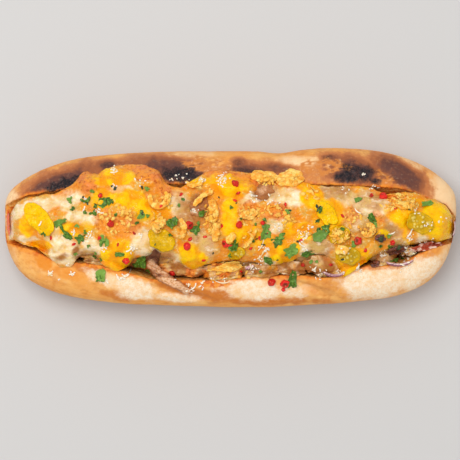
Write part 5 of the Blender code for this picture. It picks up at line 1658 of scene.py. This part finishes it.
def build_white_crumbs(material, ground, largest):
    """Clusters of fine white cheese crumbs."""
    draw = random.Random(SEED + 5)
    heap = Heap("tone")
    for at_x, at_y, reach, number in WHITE_CRUMBS:
        for _ in range(number):
            x, y = draw.gauss(at_x, reach * 0.45), draw.gauss(at_y, reach * 0.4)
            size = largest * draw.uniform(0.5, 1.0)
            stretch = (draw.uniform(0.9, 1.6), draw.uniform(0.6, 1.0), draw.uniform(0.5, 0.8))
            lumpy(heap, ground, draw, x, y, size, stretch, 0.5, size * 0.3, 2, tone=draw.uniform(0.0, 0.5))
    return heap.finished("white_crumbs", material)


def build_pepper(material, ground):
    """Cracked black pepper and dark scraps of herb."""
    draw = random.Random(SEED + 6)
    heap = Heap("tone")
    for x, y, size in PEPPER_BITS:
        stretch = (draw.uniform(0.6, 1.0), draw.uniform(0.3, 0.6), 0.3)
        lumpy(heap, ground, draw, x, y, size, stretch, 0.4, 0.35, 3, tone=draw.random())
    return heap.finished("black_pepper", material)


def pepper_finish(look):
    f = Finish("Black pepper")
    fine = f.noise(0.8, 3.0)
    base = f.tint(look.pepper_black, look.herb_dark, fine, 0.4, 0.65)
    return f.finish(base, fine, 0.2, 0.5)


# The sauces: the name, (x, y, length, width, turn), how dark and foamy, and the depth that it
# fills below the roll's dome
SAUCES = (
    ("sauce_left", (-117.3, 2.4, 2.8, 12.5, 4), 0, None),
    ("sauce_right", (103, -9.9, 18, 3.6, 10), 1, 2.6),
)


def build_sauces(material, ground):
    """The red sauce at the left end and the darker, foamy one near the right end."""
    made = []
    for name, spec, foamy, depth in SAUCES:
        obj, upper, *_ = draped(
            name, spec, 0.6, 0.5, ground, material, 44, sag=0.45, filled=depth, power=2.0
        )
        x, y, z = points_of(obj)
        raise_relief(obj, 0.25 * grain(x, y, z, 2.6, 140.0), upper)
        froth = grain(x, y, z, 2.4, 141.0) + 0.5 * ease(100.0, 94.0, x)
        set_masks(obj, dark=foamy, foam=foamy * ease(-0.1, 0.3, froth))
        made.append(obj)
    return made


def sauce_finish(look):
    f = Finish("Sauce")
    fine = f.noise(1.4, 3.0)
    light = f.tint(look.sauce_red, look.sauce_orange, fine, 0.35, 0.65)
    base = f.mix(f.mask("dark"), light, look.sauce_brown)
    base = f.cover(base, look.sauce_foam, "foam", 0.8, 0.6, 0.4)
    gloss = {"Coat Weight": 0.1, "Specular Tint": look.warm_gloss}
    return f.finish(base, fine, 0.2, (0.12, 0.3), gloss)


# ---------------------------------------------------------------- settings


def colour_setting(name, code, description):
    return bpy.props.FloatVectorProperty(
        name=name, description=description, subtype="COLOR", size=3, min=0.0, max=1.0, default=colour(code)
    )


def size_setting(name, millimetres, description):
    return bpy.props.FloatProperty(
        name=name, description=description, subtype="DISTANCE", unit="LENGTH", min=0.0,
        default=millimetres * MM,
    )


class HotDogSizes(bpy.types.PropertyGroup):
    """Sizes of the hot dog's toppings and of the stage."""

    split_depth: size_setting("Split depth", 1.4, "Depth of the splits in the crust")
    pickle_thickness: size_setting("Pickle thickness", 2.2, "Thickness of the pickle slices")
    bacon_thickness: size_setting("Bacon thickness", 1.6, "Thickness of the bacon")
    fried_thickness: size_setting("Fried onion thickness", 1.9, "Thickness of the fried onion")
    browned_thickness: size_setting("Browned onion thickness", 1.4, "Thickness of the browned onion")
    red_thickness: size_setting("Red onion thickness", 1.3, "Thickness of the red onion")
    leaf_thickness: size_setting("Leaf thickness", 0.35, "Thickness of the herb leaves")
    strand_thickness: size_setting("Strand thickness", 0.72, "Thickness of the grated strands")
    flake_size: size_setting("Flake size", 1.6, "Largest crisp flake, measured from its middle")
    crumb_size: size_setting("Cheese crumb size", 0.62, "Largest white crumb, measured from its middle")
    floor_width: size_setting("Floor width", 4000.0, "Width of the pale floor")
    lamp_width: size_setting("Lamp width", 500.0, "Width of the soft lamp")
    camera_height: size_setting("Camera height", 1300.0, "Height of the camera above the floor")


class HotDogLook(bpy.types.PropertyGroup):
    """Colours of the hot dog's finishes."""

    crust_gold: colour_setting("Crust", "efa24c", "Golden crust")
    crust_pale: colour_setting("Pale crust", "f6b866", "Lighter crust between the golden parts")
    # Also paints the highlight on the far rim
    crust_light: colour_setting("Light crust", "fbd3a0", "Palest crust of the tips")
    crust_deep: colour_setting("Deep crust", "d27a2a", "Darker grain of the crust")
    crust_brown: colour_setting("Browned crust", "cc7228", "Golden brown bands of the near side")
    crust_rim: colour_setting("Crust rim", "e8944a", "Crust along the roll's widest line")
    crust_crack: colour_setting("Cracked crust", "d0803a", "Golden skin that cracked open")
    crust_grease: colour_setting("Greasy crust", "e88c28", "Crust that took up fat")
    baked_brown: colour_setting("Baked brown", "9c5a36", "Matt brown of the far band")
    baked_red: colour_setting("Baked red brown", "c47844", "Redder brown of the far band")
    baked_dark: colour_setting("Baked dark", "623c34", "Dark grain of the far band")
    char_black: colour_setting("Char", "17141a", "Charred crust")
    char_brown: colour_setting("Char brown", "4a3a38", "Specks in the charred crust")
    flour_white: colour_setting("Flour", "fdeace", "Floured skin, lightest")
    flour_cream: colour_setting("Flour shade", "f8d3a4", "Floured skin, darker")
    toast_gold: colour_setting("Toast", "f0942e", "Toasted lip")
    toast_deep: colour_setting("Deep toast", "d4641c", "Toasted lip, darker")
    under_brown: colour_setting("Underside", "b8793e", "Underside of the roll")
    crumb_cream: colour_setting("Crumb", "f0c070", "Soft crumb in the cut")
    # Painted shade in the pores of the crumb
    crumb_shade: colour_setting("Crumb pores", "e09c48", "Pores of the crumb")
    sausage_skin: colour_setting("Sausage", "ac683a", "Grilled skin")
    sausage_gold: colour_setting("Golden sausage", "c4823a", "Lighter skin of the sausage")
    sausage_pale: colour_setting("Pale sausage", "d09c5c", "Fat under the skin of the sausage")
    sausage_dark: colour_setting("Seared sausage", "743e1a", "Seared parts of the skin")
    cheese_bright: colour_setting("Yellow cheese", "ffcc00", "Brightest melted cheese")
    cheese_deep: colour_setting("Deep yellow cheese", "fdb200", "Deeper melted cheese")
    # Also paints the shade in the creases of the yellow and golden melt
    cheese_orange: colour_setting("Orange cheese", "e67c0c", "Orange fat in the melt")
    cheese_gold: colour_setting("Golden cheese", "ee9c20", "Golden melt between the yellow parts")
    cheese_white: colour_setting("White cheese", "fce8c6", "White melted cheese")
    cheese_cream: colour_setting("Cream cheese", "f0d49c", "Cream-coloured melt")
    crumb_white: colour_setting("Cheese crumbs", "f8ecd6", "Fine white cheese crumbs")
    # Also paints the shade in the creases of the cream melt
    cheese_straw: colour_setting("Straw cheese", "dfa84a", "Straw-coloured melt")
    clear_tan: colour_setting("Clear melt", "d9b064", "Thin clear melt")
    clear_pink: colour_setting("Clear pink melt", "d4a474", "Thin clear melt with a pinkish tone")
    # Also paints the shade in the creases of the clear melt
    clear_brown: colour_setting("Clear brown melt", "a66a28", "Thin clear melt over meat")
    gratin_gold: colour_setting("Gratin", "f09430", "Golden blisters of the melt")
    gratin_pink: colour_setting("Pink gratin", "e68440", "Pinkish blisters of the melt")
    gratin_brown: colour_setting("Brown gratin", "bc5c1c", "Browned blisters of the melt")
    pickle_green: colour_setting("Pickle", "cc9a04", "Flesh of the pickles")
    pickle_olive: colour_setting("Olive pickle", "a8880c", "Greener flesh of the pickles")
    pickle_lemon: colour_setting("Yellow pickle", "fac600", "Brightest pickle flesh")
    pickle_gold: colour_setting("Golden pickle", "f0b400", "Golden pickle flesh")
    pickle_core: colour_setting("Pickle core", "b8921a", "Seedy middle of the pickles")
    pickle_seed: colour_setting("Pickle seeds", "dfc45e", "Seeds of the pickles")
    pickle_skin: colour_setting("Pickle skin", "a08a10", "Edge of the pickles")
    bacon_lean: colour_setting("Bacon", "b06c3a", "Lean bacon")
    bacon_dark: colour_setting("Dark bacon", "4e241c", "Crisp dark bacon")
    bacon_fat: colour_setting("Bacon fat", "e8ba94", "Fat of the bacon")
    bacon_gold: colour_setting("Golden bacon fat", "bc783c", "Crisp fat of the bacon")
    fried_gold: colour_setting("Fried onion", "f9b744", "Golden fried onion")
    fried_pale: colour_setting("Pale fried onion", "fcd878", "Lightest fried onion")
    # Also paints the shade in the creases of the fried coat
    fried_deep: colour_setting("Deep fried onion", "ec9020", "Deeper gold of the fried onion")
    fried_brown: colour_setting("Brown fried onion", "b86014", "Creases of the fried onion")
    onion_white: colour_setting("Onion flesh", "e8c9c4", "Pale flesh of the red onion")
    onion_pink: colour_setting("Pink onion", "c48d94", "Pink flesh of the red onion")
    onion_purple: colour_setting("Onion skin", "8c4a5a", "Purple edge of the red onion")
    browned_black: colour_setting("Dark onion", "3a1c12", "Darkest browned onion")
    browned_purple: colour_setting("Browned onion", "7c3a22", "Lighter browned onion")
    herb_dark: colour_setting("Dark herb", "3c5416", "Darkest leaf")
    herb_green: colour_setting("Herb", "557f1c", "Green leaf")
    herb_light: colour_setting("Light herb", "7aa03e", "Lighter leaf")
    herb_pale: colour_setting("Pale herb", "95b868", "Pale veins of the leaf")
    pepper_pink: colour_setting("Peppercorn", "e62226", "Pink peppercorn")
    pepper_red: colour_setting("Red peppercorn", "c81a1c", "Red skin of the peppercorn")
    pepper_dark: colour_setting("Dark peppercorn", "8a1c18", "Folds of the peppercorn")
    pepper_inside: colour_setting("Peppercorn inside", "74241a", "Hollow inside of a crushed peppercorn")
    pepper_black: colour_setting("Black pepper", "241f1c", "Cracked black pepper")
    sauce_red: colour_setting("Sauce", "e04a20", "Red sauce at the left end")
    sauce_orange: colour_setting("Orange sauce", "ee6418", "Thin edge of the sauce")
    sauce_foam: colour_setting("Sauce foam", "ecc8b4", "Pale froth on the dark sauce")
    warm_gloss: colour_setting("Warm gloss", "ffd890", "Tone of the highlights on oily food")
    sauce_brown: colour_setting("Dark sauce", "b04630", "Darker sauce at the right end")


# ---------------------------------------------------------------- operators


def settings(context):
    """The user's colours, and the sizes in millimetres."""
    group = context.scene.hotdog_sizes
    sizes = {name: getattr(group, name) / MM for name in HotDogSizes.__annotations__}
    return context.scene.hotdog_look, sizes


def keep_piece(obj, slot, *nodes):
    """Fixes a finished piece to the part, in place of the plain solids named."""
    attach(obj, "root")
    if nodes:
        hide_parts(*nodes)


class HOTDOG_OT_roll(bpy.types.Operator):
    """Models the baked roll with its cut, splits and charred spots"""

    bl_idname = "hotdog.roll"
    bl_label = "Baked roll"

    def execute(self, context):
        look, sizes = settings(context)
        roll = build_roll(crust_finish(look), sizes["split_depth"])
        keep_piece(roll, "crust", "bread_roll")
        return {"FINISHED"}


class HOTDOG_OT_sausage(bpy.types.Operator):
    """Models the grilled sausage in the cut"""

    bl_idname = "hotdog.sausage"
    bl_label = "Sausage"

    def execute(self, context):
        sausage = build_sausage(sausage_finish(context.scene.hotdog_look))
        keep_piece(sausage, "sausage", "sausage")
        return {"FINISHED"}


class HOTDOG_OT_cheese(bpy.types.Operator):
    """Models the melted cheese over the sausage"""

    bl_idname = "hotdog.cheese"
    bl_label = "Melted cheese"

    def execute(self, context):
        cheese = build_cheese(cheese_finish(context.scene.hotdog_look))
        keep_piece(cheese, "cheese", "melted_cheese")
        for obj in build_drips(cheese.data.materials[0], Ground("baked_roll", "grilled_sausage")):
            keep_piece(obj, "cheese")
        return {"FINISHED"}


BASE_PIECES = ("baked_roll", "grilled_sausage", "cheese", "drip_1")


def scene_ground(*kinds):
    """The ground made of the pieces laid so far; an error if the lowest are missing."""
    missing = [name for name in BASE_PIECES if name not in bpy.data.objects]
    if missing:
        raise RuntimeError("Make these pieces first: " + ", ".join(missing))
    kinds = ("drip_", *kinds)
    names = [obj.name for obj in bpy.data.objects if obj.name.startswith(kinds)]
    return Ground(*BASE_PIECES[:3], *sorted(names))


class HOTDOG_OT_pickles(bpy.types.Operator):
    """Lays the pickle slices on the cheese"""

    bl_idname = "hotdog.pickles"
    bl_label = "Pickle slices"

    def execute(self, context):
        look, sizes = settings(context)
        made = build_pickles(pickle_finish(look), scene_ground("bacon_bit"), sizes["pickle_thickness"])
        for number, obj in enumerate(made, 1):
            keep_piece(obj, "pickle", f"pickle_slice_{number}")
        return {"FINISHED"}


class HOTDOG_OT_bacon(bpy.types.Operator):
    """Lays the bacon pieces and the long rasher"""

    bl_idname = "hotdog.bacon"
    bl_label = "Bacon"

    def execute(self, context):
        look, sizes = settings(context)
        made, rasher = build_bacon(bacon_finish(look), scene_ground(), sizes["bacon_thickness"])
        for number, obj in enumerate(made, 1):
            keep_piece(obj, "bacon", f"bacon_piece_{number}")
        keep_piece(rasher, "bacon", "bacon_rasher")
        return {"FINISHED"}


class HOTDOG_OT_onions(bpy.types.Operator):
    """Lays the fried, red and browned onions"""

    bl_idname = "hotdog.onions"
    bl_label = "Onions"

    def execute(self, context):
        look, sizes = settings(context)
        ground = scene_ground("pickle_", "bacon_bit", "rasher")
        browned = build_browned_onions(browned_finish(look), ground, sizes["browned_thickness"])
        for number, obj in enumerate(browned, 1):
            keep_piece(obj, "browned_onion", f"browned_onion_{number}")
        ground.add(*browned)
        arcs = build_red_onions(red_onion_finish(look), ground, sizes["red_thickness"])
        for number, obj in enumerate(arcs, 1):
            keep_piece(obj, "red_onion", f"red_onion_{number}")
        ground.add(*arcs)
        chip, *curls = build_fried_onions(fried_finish(look), ground, sizes["fried_thickness"])
        keep_piece(chip, "fried_onion", "onion_chip")
        for number, obj in enumerate(curls, 1):
            keep_piece(obj, "fried_onion", f"fried_onion_{number:02d}")
        return {"FINISHED"}


class HOTDOG_OT_sprinkles(bpy.types.Operator):
    """Scatters herbs, peppercorns, grated strands and crisp crumbs, and adds the sauces"""

    bl_idname = "hotdog.sprinkles"
    bl_label = "Sprinkles and sauces"

    def execute(self, context):
        look, sizes = settings(context)
        ground = scene_ground("pickle_", "bacon_bit", "rasher", "dark_onion", "onion_arc", "crisp_")
        for obj in build_sauces(sauce_finish(look), ground):
            keep_piece(obj, "sauce")
        flakes = build_crumbs(bpy.data.materials["Fried onion"], ground, sizes["flake_size"])
        keep_piece(flakes, "fried_onion")
        strands = build_shreds(shred_finish(look), ground, sizes["strand_thickness"])
        keep_piece(strands, "cheese")
        crumbs = build_white_crumbs(strands.data.materials[0], ground, sizes["crumb_size"])
        keep_piece(crumbs, "cheese")
        keep_piece(build_pepper(pepper_finish(look), ground), "peppercorn")
        keep_piece(build_peppercorns(peppercorn_finish(look), ground), "peppercorn")
        keep_piece(build_herbs(herb_finish(look), ground, sizes["leaf_thickness"]), "herb")
        return {"FINISHED"}


FLOOR_COLOUR = "c9c7c5"
# The lamp's place in metres and its power in watts
LAMP_PLACE = (-0.2, 0.22, 1.06)
LAMP_POWER = 6.0
SKY_STRENGTH = 0.74
SENSOR_WIDTH = 36.0
# The camera takes in this many pixels of this width in millimetres at a height in metres, and
# it stands this many pixels off the part's middle
PHOTO_PIXELS = 460
PIXEL = 0.53
PLANE_HEIGHT = 0.025
EYE_SHIFT = (-0.5, -2.5)


class HOTDOG_OT_stage(bpy.types.Operator):
    """Sets up the pale floor, the soft light and the camera above"""

    bl_idname = "hotdog.stage"
    bl_label = "Stage"

    def execute(self, context):
        sizes = context.scene.hotdog_sizes
        bm = bmesh.new()
        bmesh.ops.create_grid(bm, x_segments=1, y_segments=1, size=sizes.floor_width / 2.0)
        finish = Finish("Pale floor").finish(colour(FLOOR_COLOUR), None, 0.0, 0.85)
        floor = new_object("floor", bm, finish)

        light = bpy.data.lights.new("Soft window", "AREA")
        light.shape = "SQUARE"
        light.size = sizes.lamp_width
        light.energy = LAMP_POWER
        lamp = bpy.data.objects.new("Soft window", light)
        lamp.location = LAMP_PLACE
        lamp.rotation_euler = Vector(LAMP_PLACE).to_track_quat("Z", "Y").to_euler()
        context.scene.collection.objects.link(lamp)

        world = bpy.data.worlds.new("Studio")
        world.use_nodes = True
        sky = world.node_tree.nodes["Background"].inputs
        sky["Color"].default_value = (1.0, 1.0, 1.0, 1.0)
        sky["Strength"].default_value = SKY_STRENGTH
        context.scene.world = world

        camera = bpy.data.cameras.new("Above")
        height = sizes.camera_height
        camera.sensor_width = SENSOR_WIDTH
        camera.lens = SENSOR_WIDTH * (height - PLANE_HEIGHT) / (PHOTO_PIXELS * PIXEL * MM)
        eye = bpy.data.objects.new("Above", camera)
        eye.location = (*(shift * PIXEL * MM for shift in EYE_SHIFT), height)
        context.scene.collection.objects.link(eye)
        context.scene.camera = eye
        context.scene.view_settings.view_transform = "Standard"
        return {"FINISHED"}


STEPS = (
    HOTDOG_OT_roll, HOTDOG_OT_sausage, HOTDOG_OT_cheese, HOTDOG_OT_bacon, HOTDOG_OT_pickles,
    HOTDOG_OT_onions, HOTDOG_OT_sprinkles, HOTDOG_OT_stage,
)


class HOTDOG_PT_panel(bpy.types.Panel):
    """Lists the steps, the sizes and the colours"""

    bl_label = "Hot dog"
    bl_space_type = "VIEW_3D"
    bl_region_type = "UI"
    bl_category = "Hot dog"

    def draw(self, context):
        for step in STEPS:
            self.layout.operator(step.bl_idname)
        for group in (context.scene.hotdog_sizes, context.scene.hotdog_look):
            for name in type(group).__annotations__:
                self.layout.prop(group, name)


CLASSES = (HotDogSizes, HotDogLook, *STEPS, HOTDOG_PT_panel)


def register():
    for item in CLASSES:
        bpy.utils.register_class(item)
    bpy.types.Scene.hotdog_sizes = bpy.props.PointerProperty(type=HotDogSizes)
    bpy.types.Scene.hotdog_look = bpy.props.PointerProperty(type=HotDogLook)


def unregister():
    del bpy.types.Scene.hotdog_look
    del bpy.types.Scene.hotdog_sizes
    for item in reversed(CLASSES):
        bpy.utils.unregister_class(item)


def main():
    register()
    bpy.ops.hotdog.roll()
    bpy.ops.hotdog.sausage()
    bpy.ops.hotdog.cheese()
    bpy.ops.hotdog.bacon()
    bpy.ops.hotdog.pickles()
    bpy.ops.hotdog.onions()
    bpy.ops.hotdog.sprinkles()
    bpy.ops.hotdog.stage()


if __name__ == "__main__":
    main()
